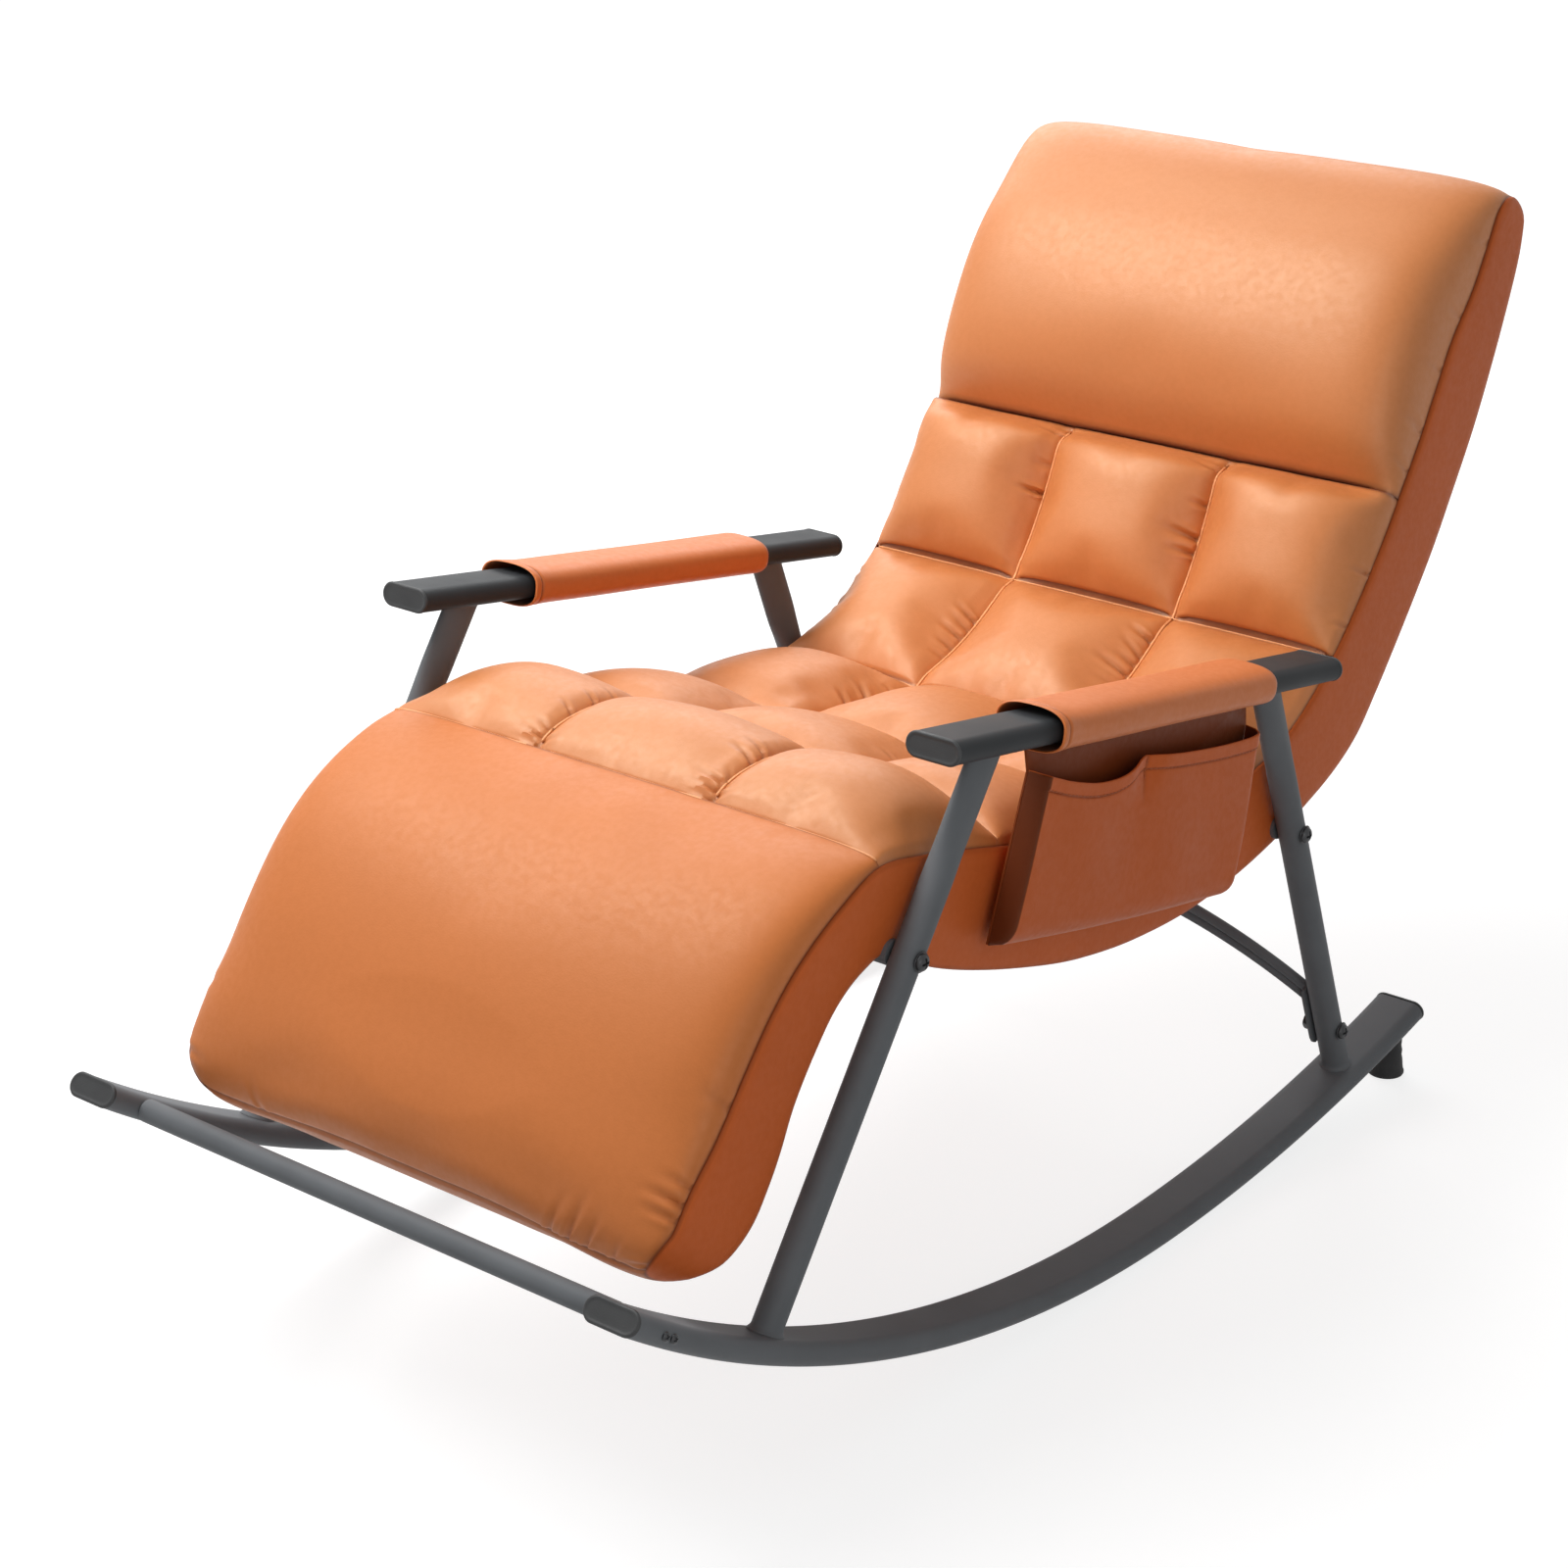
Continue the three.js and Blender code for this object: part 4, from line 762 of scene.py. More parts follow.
def smooth_pad(name, rim, out, arch, nodes, folds, material, first_shade, seam_row=None, seam_folds=()):
    """A smooth pad with a few folds at its seams and painted shade along its seams and ends; a seam across
    it may stand near its end.
    """
    pad = Pad(rim, out, arch, (17, 31))
    points = pad.surface()
    for _ in range(14):
        points[1:-1, 1:-1] = (points[:-2, 1:-1] + 2 * points[1:-1, 1:-1] + points[2:, 1:-1]) / 4
    points = inflate(name + "_cloth", points, pad.pins([0, -1]), PAD_SLACK, 3.0, 50, frames=14, cap=0.012,
                     bending=12)
    points = refined(points, [0, pad.rows - 1], [0, pad.cols - 1])
    rim, out = split_rows(rim), split_rows(out)
    rows, cols = points.shape[:2]
    s = lengths(points[:, cols // 2])
    w = across_lengths(points)
    points, painted_shade = gather(points, folds, s, w, {-2: 0, 2: cols - 1}, [0, rows - 1])
    if seam_row is not None:
        seam_row *= 2
        turned_points = points.swapaxes(0, 1)
        across = lengths(points[rows // 2])
        down = across_lengths(turned_points)
        turned_points, shade = gather(turned_points, seam_folds, across, down, {1: seam_row}, [0, cols - 1])
        points, painted_shade = turned_points.swapaxes(0, 1), np.maximum(painted_shade, shade.swapaxes(0, 1))
        # Painted shade along the seam across the pad, and a lighter painted shade over the whole part below
        # it, round the pad's lower end.
        away = (s - s[seam_row])[:, None] * np.ones(cols)
        painted_shade = np.maximum(painted_shade, 0.9 * near(away, 0.0020))
        painted_shade = np.maximum(painted_shade, 0.35 * np.clip(-away / 0.004, 0, 1))
        points = points - normals_of(points) * (0.0024 * near(away, 0.0032))[..., None]
    # Painted shade at both ends and both sides of the pad.
    for r, shade, width in ((0, first_shade, 2 + 3 * first_shade), (rows - 1, 0.7, 2)):
        painted_shade = np.maximum(painted_shade, shade * near(s - s[r], width * MM)[:, None])
    for c in (0, cols - 1):
        painted_shade = np.maximum(painted_shade, 0.9 * near(w - w[:, c:c + 1], 0.0020))
    closed_pad(name, points, rim, out, material, nodes, painted_shade)


def make_calf():
    """The smooth leg rest: rolled foot end, then the slope up to the knee."""
    count = 26
    roll_rim, roll_out = roll(FOOT_ROLL, FOOT_RADIUS, foot_under - 6, foot_seam, count)
    s = np.linspace(0, row_s[0], 68)[1:]
    t = s / row_s[0]
    arch = (5 + (12 - 5) * t + (34 - 8.5) * bump(t) + 5.6 * np.exp(-s / 0.060)) * MM
    rim, out = seam_places(s)
    rolled = lengths(roll_rim)
    roll_arch = 5 * MM + 5.6 * MM * np.clip((rolled - rolled[-1] + 0.059) / 0.059, 0, 1) ** 2
    folds = {(0, 2, -1): [(0.10, 30, 2.0, -0.30, 3.0), (0.205, 38, 2.4, 0.05, 3.0),
                          (0.235, 44, 3.0, 0.05, 3.0), (0.27, 34, 2.2, 0.05, 3.0),
                          (0.42, 38, 1.6, 0.10, 5.0)],
             (0, -2, 1): [(0.16, 30, 1.4, -0.20, 4.0), (0.30, 28, 1.2, 0.00, 4.4)]}
    seam_folds = {(0, 1, 1): [(0.16, 40, 1.0, 0.10, 4.4), (0.80, 50, 1.8, 0.10, 3.6),
                              (0.84, 58, 2.4, 0.05, 3.6), (0.88, 46, 2.0, 0.00, 3.4),
                              (0.94, 30, 1.8, -0.20, 3.2)]}
    smooth_pad("calf_pad", np.vstack([roll_rim, rim]), np.vstack([roll_out, out]),
               np.concatenate([roll_arch, arch]), "calf_cushion", folds, calf_leather, 0.03, 11, seam_folds)


def make_head():
    """The smooth head pillow: up from the back's last seam and over the rolled top."""
    s = np.linspace(row_s[-1], SEAM_LENGTH, 48)
    t = (s - s[0]) / (s[-1] - s[0])
    arch = (46 + (42 - 46) * t + (80 - 44) * bump(t)) * MM
    arch = 21 * MM + (arch - 21 * MM) * rounded(s - s[0], 0.036)
    rim, out = seam_places(s)
    roll_rim, roll_out = roll(HEAD_ROLL, HEAD_RADIUS, head_seam, head_under + 6, 16)
    k = np.linspace(0, 1, 16)[1:]
    roll_arch = (2 + (42 - 2) * (1 - k) ** 2) * MM
    folds = {(0, 2, -1): [(0.10, 42, 1.8, 0.30, 3.6), (0.20, 46, 1.6, 0.20, 3.6), (0.34, 40, 1.3, 0.05, 3.6),
                          (0.50, 34, 1.2, -0.10, 3.6), (0.66, 34, 1.2, -0.20, 4.0)],
             (0, -2, 1): [(0.12, 32, 1.2, 0.20, 4.4), (0.70, 30, 1.2, -0.20, 4.4)]}
    # The first shade of 1.0 is painted shadow in the crease under the head pillow.
    smooth_pad("head_pad", np.vstack([rim, roll_rim[1:]]), np.vstack([out, roll_out[1:]]),
               np.concatenate([arch, roll_arch]), "head_cushion", folds, pad_leather, 1.0)


make_calf()
make_head()

# ==== tubes

ARM_FRONT, ARM_REAR = row((-347.07, 576.04))[0], row((227.93, 481.04))[0]
ARM_ALONG = (ARM_REAR - ARM_FRONT) / np.linalg.norm(ARM_REAR - ARM_FRONT)
ARM_UP = left_of(ARM_ALONG)
OVAL_WIDTH, OVAL_HEIGHT = 52, 21
HALF_OVAL = OVAL_HEIGHT / 2 * MM


def inset_oval(inset):
    """Outline of the flat-oval tube, made smaller all round by an inset in millimetres."""
    return flat_oval((OVAL_WIDTH - 2 * inset) * MM, (OVAL_HEIGHT - 2 * inset) * MM, 16)


# The rocker's arcs in front of and behind its lowest point, which stands on the strip.
ROCKER_RADII, STRIP_THICKNESS = (1.240, 1.860), 0.0023
ROCKER_ENDS, STRIP_ENDS = (-0.727, 0.434), (-0.270, 0.050)


def rocker_height(y, rise=HALF_OVAL):
    """Height of a rocker's line that lies a distance above its underside."""
    radius = np.where(np.asarray(y) < 0, *ROCKER_RADII)
    return STRIP_THICKNESS + radius - np.sqrt((radius - rise) ** 2 - np.asarray(y) ** 2)


def arm_height(y):
    """Height of the arm's centre line at a row y."""
    return ARM_FRONT[1] + (y - ARM_FRONT[0]) * ARM_ALONG[1] / ARM_ALONG[0]


def swept_tube(name, x, path, material, nodes):
    """Flat-oval tube with slightly eased cut edges."""
    s = lengths(path)[-1]
    wanted = np.concatenate([[0, 0.0006], np.linspace(0.002, s - 0.002, len(path)), [s - 0.0006, s]])
    sections = [inset_oval(0.5 if i in (0, len(wanted) - 1) else 0) for i in range(len(wanted))]
    mesh_piece(name, tube_mesh(side_sweep(x, at_lengths(path, wanted), sections)), material,
               stands_for=nodes, slot="powder_coated_steel")


CAP_PROFILE = [(-12, 2.1), (0.3, 2.1), (0.3, 0.2), (0.7, -0.4), (2.0, -0.4), (2.8, 0.1), (3.2, 1.0),
               (3.25, 2.0), (2.9, 2.6), (2.7, 4.2), (2.7, 6.5)]


def end_cap(name, x, place, outward, nodes):
    """Oval plug: a stem in the tube, a rounded rim and a slightly sunk face."""
    plug = tube_mesh([standing(x, place + outward * along * MM, left_of(outward), inset_oval(inset))
                      for along, inset in CAP_PROFILE])
    mesh_piece(name, plug, cap_plastic, stands_for=nodes, slot="tube_cap", sharp=50)


# Each leg's reach where it meets the arm and where it stands on the rocker.
LEGS = {"front": (-273.07, -560), "rear": (136.93, 317)}
# Distance from the leg's end and height of the weld bead round it.
BEAD = [(0, 2.6), (0.7, 2.4), (1.6, 1.7), (2.6, 0.9), (4.0, 0.25), (6, 0), (9, 0)]
LEG_RADIUS, PRESSED = 13, (8.5, 18.5)


def leg_axis(which):
    """Foot and top of a leg's axis, and its direction."""
    top, foot = LEGS[which]
    foot_place = np.array([foot * MM + SHIFT, float(rocker_height(foot * MM))])
    top_place = np.array([top * MM + SHIFT, arm_height(top * MM + SHIFT)])
    length = np.linalg.norm(top_place - foot_place)
    return foot_place, (top_place - foot_place) / length, length


def make_leg(which, side, sign):
    """Round tube, pressed oval under the arm, with a weld bead where each end lands."""
    foot, along, length = leg_axis(which)
    across = left_of(along)
    cos, sin = around(40)

    def land(start, depth, surface):
        """Lengths along the leg at which its outline meets a surface."""
        d = np.full(40, start)
        for _ in range(6):
            p = foot + along * d[:, None] + across * (sin * depth)[:, None]
            d += (surface(p[:, 0]) - p[:, 1]) / along[1]
        return d
    low = land(0.01, 0.013, lambda y: rocker_height(y - SHIFT, 0.021))
    high = land(length - 0.01, 0.0185, lambda y: arm_height(y) - HALF_OVAL / ARM_ALONG[0])
    places = [(low + d * MM, f) for d, f in BEAD]
    places += [(low * (1 - t) + high * t, 0) for t in np.linspace(0.03, 0.97, 60)]
    places += [(high - d * MM, f * 0.7) for d, f in BEAD[::-1]]
    rings = []
    for d, flare in places:
        press = np.clip((125 * MM - (length - d)) / (55 * MM), 0, 1)
        press = press * press * (3 - 2 * press)
        width, depth = (LEG_RADIUS * MM + (end - LEG_RADIUS) * MM * press + flare * MM for end in PRESSED)
        rings.append(np.column_stack([sign * SIDE_X + cos * width, foot + along * d[:, None]
                                      + across * (sin * depth)[:, None]]))
    mesh_piece(f"leg_{which}_{side}", tube_mesh(rings), steel, stands_for=f"{which}_leg_{side}",
               slot="powder_coated_steel", sharp=60)


def cross_head(radius, height, recess):
    """Domed head with a cross recess, from its flat seat at x = 0, as (points, faces)."""
    cos, sin = around(48)
    rings = [circle(0, radius, 48)]
    steps = 16
    for k in range(steps):
        r = radius * math.cos(0.5 * math.pi * (k / steps) ** 1.15)
        x = height * (0.25 + 0.75 * math.sqrt(max(0, 1 - (r / radius) ** 2)))
        small, large = np.sort(np.abs([r * cos, r * sin]), axis=0)
        in_recess = (small < radius * 0.13) & (large < radius * 0.55)
        rings.append(circle(np.where(in_recess, x - recess, x), r, 48))
    return tube_mesh(rings)


def placed(body, sign, x, place):
    """A body made round the local x axis, set at a place and turned towards its side."""
    return np.asarray(body[0]) * [sign, 1, 1] + [sign * x, *place], body[1]


def middle_of(node_name):
    """Side-plane place of a node's middle."""
    low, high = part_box(node_name)
    return np.array([(low.y + high.y) / 2, (low.z + high.z) / 2])


def x_span(node_name):
    """The nearer and the farther distance of a node from the chair's middle."""
    low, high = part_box(node_name)
    return sorted((abs(low.x), abs(high.x)))


def make_bolt(name, node_name, sign, head_radius, head_height, shank, washer=True):
    """Cross-head bolt or screw with its shank, and a washer under a bolt's head."""
    inner, outer = x_span(node_name)
    seat = outer - head_height
    bodies = [(seat, cross_head(head_radius, head_height, head_height * 0.35)),
              (seat, turned([(inner - seat, shank * 0.8), (inner - seat + 0.001, shank), (0, shank)], 24))]
    if washer:
        bodies.append((seat - 0.0002, turned([(0.0, head_radius * 1.12), (0.0008, head_radius * 1.18),
                                              (0.0012, head_radius * 1.14)], 36)))
    parts = Parts()
    for x, body in bodies:
        parts.add(placed(body, sign, x, middle_of(node_name)))
    parts.piece(name, bolt_steel, stands_for=node_name, slot="fastener", sharp=45)


def make_nut(name, node_name, sign):
    """Hexagon nut with eased corners and an open bore."""
    near_x, far_x = x_span(node_name)
    angle = np.arange(36) / 36 * 2 * math.pi
    hexagon = 0.007 / np.maximum(np.cos((angle % (math.pi / 3)) - math.pi / 6), 0.5)
    thick, bore = far_x - near_x, np.full(36, 0.0044)
    rings = [circle(x, r, 36) for x, r in [
        (0, np.minimum(hexagon, 0.0073)), (0.0010, np.minimum(hexagon, 0.0082)),
        (thick - 0.0008, np.minimum(hexagon, 0.0082)), (thick, np.minimum(hexagon, 0.0074)),
        (thick, bore), (0, bore)]]
    faces = grid_faces(6, 36, closed_rows=True, closed_cols=True)
    mesh_piece(name, placed((np.vstack(rings), faces), sign, near_x, middle_of(node_name)), bolt_steel,
               stands_for=node_name, slot="fastener", sharp=30)


def make_foot(side, sign):
    """Turned rubber foot with grooves, cut off by the rocker above it."""
    node_name = f"rear_foot_{side}"
    middle_y = middle_of(node_name)[0]
    top = float(rocker_height(FOOT_REACH, 0.0)) / MM
    profile = [(0, 15.0), (0.8, 17.2), (2.4, 18.0), (4.0, 17.9), (6.0, 17.0)]
    for k in range(1, 8):
        groove = 0.7 if k in (3, 5) else 0
        profile.append((6 + (top - 9) * k / 8, 17 - 3.6 * (k / 8) ** 0.8 - groove))
    cos, sin = around(40)
    rings = []
    for h, r in profile + [(top - 2, 13.2), (top - 0.8, 13.0)]:
        y = r * MM * sin
        z = np.full(40, h * MM)
        if h > top - 4:
            z = rocker_height(FOOT_REACH + y, -0.0004) - (top - 0.8 - h) * MM
        rings.append(np.stack([sign * SIDE_X + r * MM * cos, middle_y + y, z], 1))
    mesh_piece(f"foot_{side}", tube_mesh(rings), rubber, stands_for=node_name, slot="rubber", sharp=40)


def make_strip(side, sign):
    """Ribbed rubber strip under the rocker."""
    y = np.linspace(*STRIP_ENDS, 200)
    path = np.stack([y + SHIFT, rocker_height(y, -0.0013)], 1)
    half, bevel, top = 0.012, 0.0006, 0.001
    sections = []
    for i in range(200):
        low = -0.001 + 0.00035 * (abs(math.sin(i * math.pi / 4)) > 0.5)
        right = [(half - bevel, low), (half, low + bevel), (half, top - bevel), (half - bevel, top)]
        sections.append(np.array([(bevel - half, low)] + right
                                 + [(bevel - half, top), (-half, top - bevel), (-half, low + bevel)]))
    mesh_piece(f"strip_{side}", tube_mesh(side_sweep(sign * SIDE_X, path, sections)), rubber,
               stands_for=f"rocker_strip_{side}", slot="rubber", sharp=30)


def round_rod(points, radius, n, ends=(1, 1)):
    """Round rod along 3D points; its ends may be thinner."""
    points = np.asarray(points)
    d = directions(points)
    side = np.cross(d, [0, 1.0, 0.3])
    side /= np.linalg.norm(side, axis=1)[:, None]
    up = np.cross(side, d)
    cos, sin = around(n)
    r = np.full(len(points), radius)
    r[[0, -1]] *= ends
    return tube_mesh(points[:, None] + side[:, None] * (cos[None, :, None] * r[:, None, None])
                     + up[:, None] * (sin[None, :, None] * r[:, None, None]))


def make_front_tube():
    """Round tube between the rockers, with its cut edges eased."""
    node_name = "front_cross_tube"
    half, ease = x_span(node_name)[1], 0.0006
    x = np.linspace(0.002 - half, half - 0.002, 90)
    x = np.concatenate([[-half, ease - half], x, [half - ease, half]])
    r = np.full(len(x), 0.010)
    r[[0, -1]] -= ease
    tube = tube_mesh([circle(at, wide, 32, middle_of(node_name)) for at, wide in zip(x, r)])
    mesh_piece("front_tube", tube, steel, stands_for=node_name, slot="powder_coated_steel")


def make_brace():
    """Two arched rods between the rear legs, welded to a bolted tab at each end."""
    foot, along, _ = leg_axis("rear")
    across = left_of(along)

    def on_axis(z):
        return foot[0] + (z - foot[1]) * along[0] / along[1]

    face = SIDE_X - LEG_RADIUS * MM - 0.0003
    end_height, crest = 0.130, 0.215
    rise = crest - end_height
    radius = (face ** 2 + rise ** 2) / (2 * rise)
    parts = Parts()
    for offset in (-0.006, 0.006):
        x = np.linspace(-face, face, 80)
        z = crest - radius + np.sqrt(radius ** 2 - x ** 2) + offset
        parts.add(round_rod(np.stack([x, on_axis(z), z], 1), 0.005, 18))
    tab_top, tab_foot = end_height + 0.012, 0.076
    edges = [(np.array([on_axis(z), z]), across * half) for z, half in [
        (tab_foot, 0.006), (tab_foot + 0.003, 0.0095), (tab_foot + 0.009, 0.011),
        (tab_top - 0.006, 0.011), (tab_top - 0.001, 0.008), (tab_top, 0.004)]]
    outline = np.array([c + h for c, h in edges] + [c - h for c, h in edges[::-1]])
    for sign in (1, -1):
        parts.add(plate(outline, [(sign * (face - d), share) for d, share in
                                  [(0, 0.94), (0.0006, 1.0), (0.0034, 1.0), (0.004, 0.94)]]))
    parts.piece("brace", steel, stands_for="rear_brace", slot="powder_coated_steel", sharp=40)


for side, sign in SIDES.items():
    x = sign * SIDE_X
    reach = np.linspace(*ROCKER_ENDS, 180)
    path = np.stack([reach + SHIFT, rocker_height(reach)], 1)
    swept_tube(f"runner_{side}", x, path, steel, f"rocker_{side}")
    ends = directions(path)
    end_cap(f"runner_front_plug_{side}", x, path[0], -ends[0], f"rocker_front_cap_{side}")
    end_cap(f"runner_rear_plug_{side}", x, path[-1], ends[-1], f"rocker_rear_cap_{side}")
    make_strip(side, sign)
    make_foot(side, sign)
    make_leg("front", side, sign)
    make_leg("rear", side, sign)
    arm = evenly(np.array([ARM_FRONT, ARM_REAR]), 60)
    swept_tube(f"arm_{side}", x, arm, arm_steel, f"arm_tube_{side}")
    end_cap(f"arm_front_plug_{side}", x, ARM_FRONT, -ARM_ALONG, f"arm_front_cap_{side}")
    end_cap(f"arm_rear_plug_{side}", x, ARM_REAR, ARM_ALONG, f"arm_rear_cap_{side}")
    for bolt_name in ("front_leg_bolt", "rear_leg_bolt", "brace_bolt"):
        make_bolt(f"{bolt_name}_head_{side}", f"{bolt_name}_{side}", sign, 0.0075, 0.006, 0.004)
    make_nut(f"nut_{side}", f"brace_nut_{side}", sign)
    for number in (1, 2):
        make_bolt(f"tube_screw_{side}_{number}", f"front_tube_screw_{side}_{number}", sign, 0.004,
                  0.0025, 0.002, washer=False)
make_front_tube()
make_brace()

# ==== sleeves

SLEEVE_FRONT, SLEEVE_REAR = -220.07 * MM + SHIFT, 109.9 * MM + SHIFT


def wrapped(half_width, half_height, power=2.7, n=48):
    """Rounded outline of a sleeve round the flat-oval tube."""
    a = (np.arange(n) + 0.5) / n * 2 * math.pi
    x, z = (half * np.sign(c) * np.abs(c) ** (2 / power)
            for half, c in ((half_width, np.cos(a)), (half_height, np.sin(a))))
    return np.stack([x, z], 1)


def make_sleeve(side, sign):
    """Padded leather sleeve, loose at its hemmed front and pulled in at its back; returns its hem."""
    hem_at = 0.0085
    start = np.array([SLEEVE_FRONT, arm_height(SLEEVE_FRONT)])
    total = (SLEEVE_REAR - SLEEVE_FRONT) / ARM_ALONG[0]
    outline, tube = wrapped(33.0 * MM, 17.6 * MM), wrapped(26.4 * MM, 10.9 * MM)
    angle = np.arctan2(outline[:, 1], outline[:, 0])

    def outer(d):
        flare = 1 + 0.055 * near(d, 0.016) + 0.012 * near(d - total, 0.03)
        hem = 1 - 0.05 * near(d - hem_at, 0.0016)
        folds = 1 + 0.010 * np.sin(3 * angle + 5 + 26 * d) * near(d - total + 0.02, 0.05)
        slack = 1 + 0.006 * np.sin(2 * angle + 31 * d)
        section = outline * (flare * hem * folds * slack)[:, None]
        section[:, 1] += np.where(outline[:, 1] > 0, 0.0012, 0.0) * near(d, 0.02)
        return section

    def ring(d, section):
        return standing(sign * SIDE_X, start + ARM_ALONG * d, ARM_UP, section)

    mouth = outer(0.0) * 0.91
    along = np.concatenate([np.linspace(0.001, 0.013, 17), np.linspace(0.016, total - 0.008, 62)])
    # The third value of each step is painted shade: in the hem's groove, at the pulled-in back, and full on
    # the inside.
    steps = [(d, outer(d), 0.7 * near(d - hem_at, 0.0014)) for d in along]
    steps += [(d, outer(d) * share, 0.3) for d, share in
              [(total - 0.005, 0.985), (total - 0.0025, 0.95), (total - 0.0008, 0.90), (total, 0.85)]]
    inside = (total - 0.001, total - 0.010, *np.linspace(total - 0.03, 0.06, 10), 0.045)
    steps += [(d, tube, 1) for d in inside]
    steps += [(0.030, mouth * 0.92, 1), (0.012, mouth * 0.985, 1), (0.003, mouth, 0.8),
              (0.0006, mouth * 1.02, 0.3), (0.0, mouth * 1.05, 0.0), (0.0006, mouth * 1.085, 0.0)]
    rings = [ring(d, section) for d, section, _ in steps]
    m = len(outline)
    faces = grid_faces(len(rings), m, closed_rows=True, closed_cols=True)
    piece = mesh_piece(f"sleeve_{side}", (np.vstack(rings), faces), sleeve_leather,
                       stands_for=f"armrest_sleeve_{side}", slot="leather", sharp=70,
                       painted_shade=np.repeat([dark for _, _, dark in steps], m))
    hem = ring(hem_at, outer(hem_at))
    return [np.vstack([hem, hem[:1]])]


# ==== stitching

def stitches(lines, radius=0.00042):
    """Short rounded threads laid end to end along lines of points."""
    length, gap = 0.0036, 0.0016
    parts = Parts()
    cos, sin = around(6)
    for line in lines:
        total = lengths(line)[-1]
        count = max(1, int(total / (length + gap)))
        starts = (np.arange(count) + 0.5) * total / count - length / 2
        for u, v in zip(*(at_lengths(line, np.clip(starts + end, 0, total)) for end in (0, length))):
            d = v - u
            size = np.linalg.norm(d)
            if size < 1e-5:
                continue
            e = np.cross(d, [0.31, 0.17, 0.93])
            e /= np.linalg.norm(e)
            f = np.cross(d / size, e)
            parts.add(tube_mesh([u + d * t + radius * r * (cos[:, None] * e + sin[:, None] * f) for t, r in
                                 ((0, 0.35), (0.15, 0.9), (0.5, 1.0), (0.85, 0.9), (1, 0.35))]))
    return parts


# ==== side pocket

# Places on the pocket: (share of the sleeve's length from its front, share of the pocket's drop).
POCKET_DROP = 179 * MM
MOUTH = [(1.02, 0.245), (0.98, 0.258), (0.93, 0.268), (0.80, 0.272), (0.64, 0.262), (0.53, 0.248),
         (0.47, 0.244), (0.44, 0.25), (0.405, 0.275), (0.36, 0.30), (0.30, 0.312), (0.22, 0.306),
         (0.12, 0.272), (0.05, 0.236), (0.012, 0.215)]
POUCH_FRONT, POUCH_REAR = [(-0.140, 1.02), (0.012, 0.215)], [(0.915, 1.10), (0.972, 0.72), (1.02, 0.245)]
DIVIDER = 0.47
POUCH_BACK, POUCH_DEPTH, MOST_DEPTH = 0.2813, 0.0205, 0.0234
HEM_SEAM, BACK_TOP, BACK_REAR = 0.011, 18.1 / 179, 1.018


def below_arm(length_share, drop_share):
    """Side-plane places under the left sleeve."""
    y = SLEEVE_FRONT + (SLEEVE_REAR - SLEEVE_FRONT) * np.asarray(length_share)
    return np.stack([y, arm_height(y) - np.asarray(drop_share) * POCKET_DROP], -1)


def pouch_grid(u, v):
    """Side-plane places of the pouch's front from its bottom to its mouth."""
    (front_low, front_top), (rear_low, rear_mid, rear_top) = POUCH_FRONT, POUCH_REAR
    bottom = below_arm(front_low[0] + (rear_low[0] - front_low[0]) * u,
                       front_low[1] + (rear_low[1] - front_low[1]) * u + 0.02 * np.sin(math.pi * u))
    smooth = smooth_line(np.array(MOUTH)[::-1], 8)
    share = front_top[0] + (rear_top[0] - front_top[0]) * u
    top = below_arm(share, np.interp(share, smooth[:, 0], smooth[:, 1]))
    side = below_arm(*rear_mid) - (below_arm(*rear_low) * 0.5 + below_arm(*rear_top) * 0.5)
    v = v[:, None, None]
    return bottom * (1 - v) + top * v + (u[None, :, None] ** 12) * np.sin(math.pi * v) * side


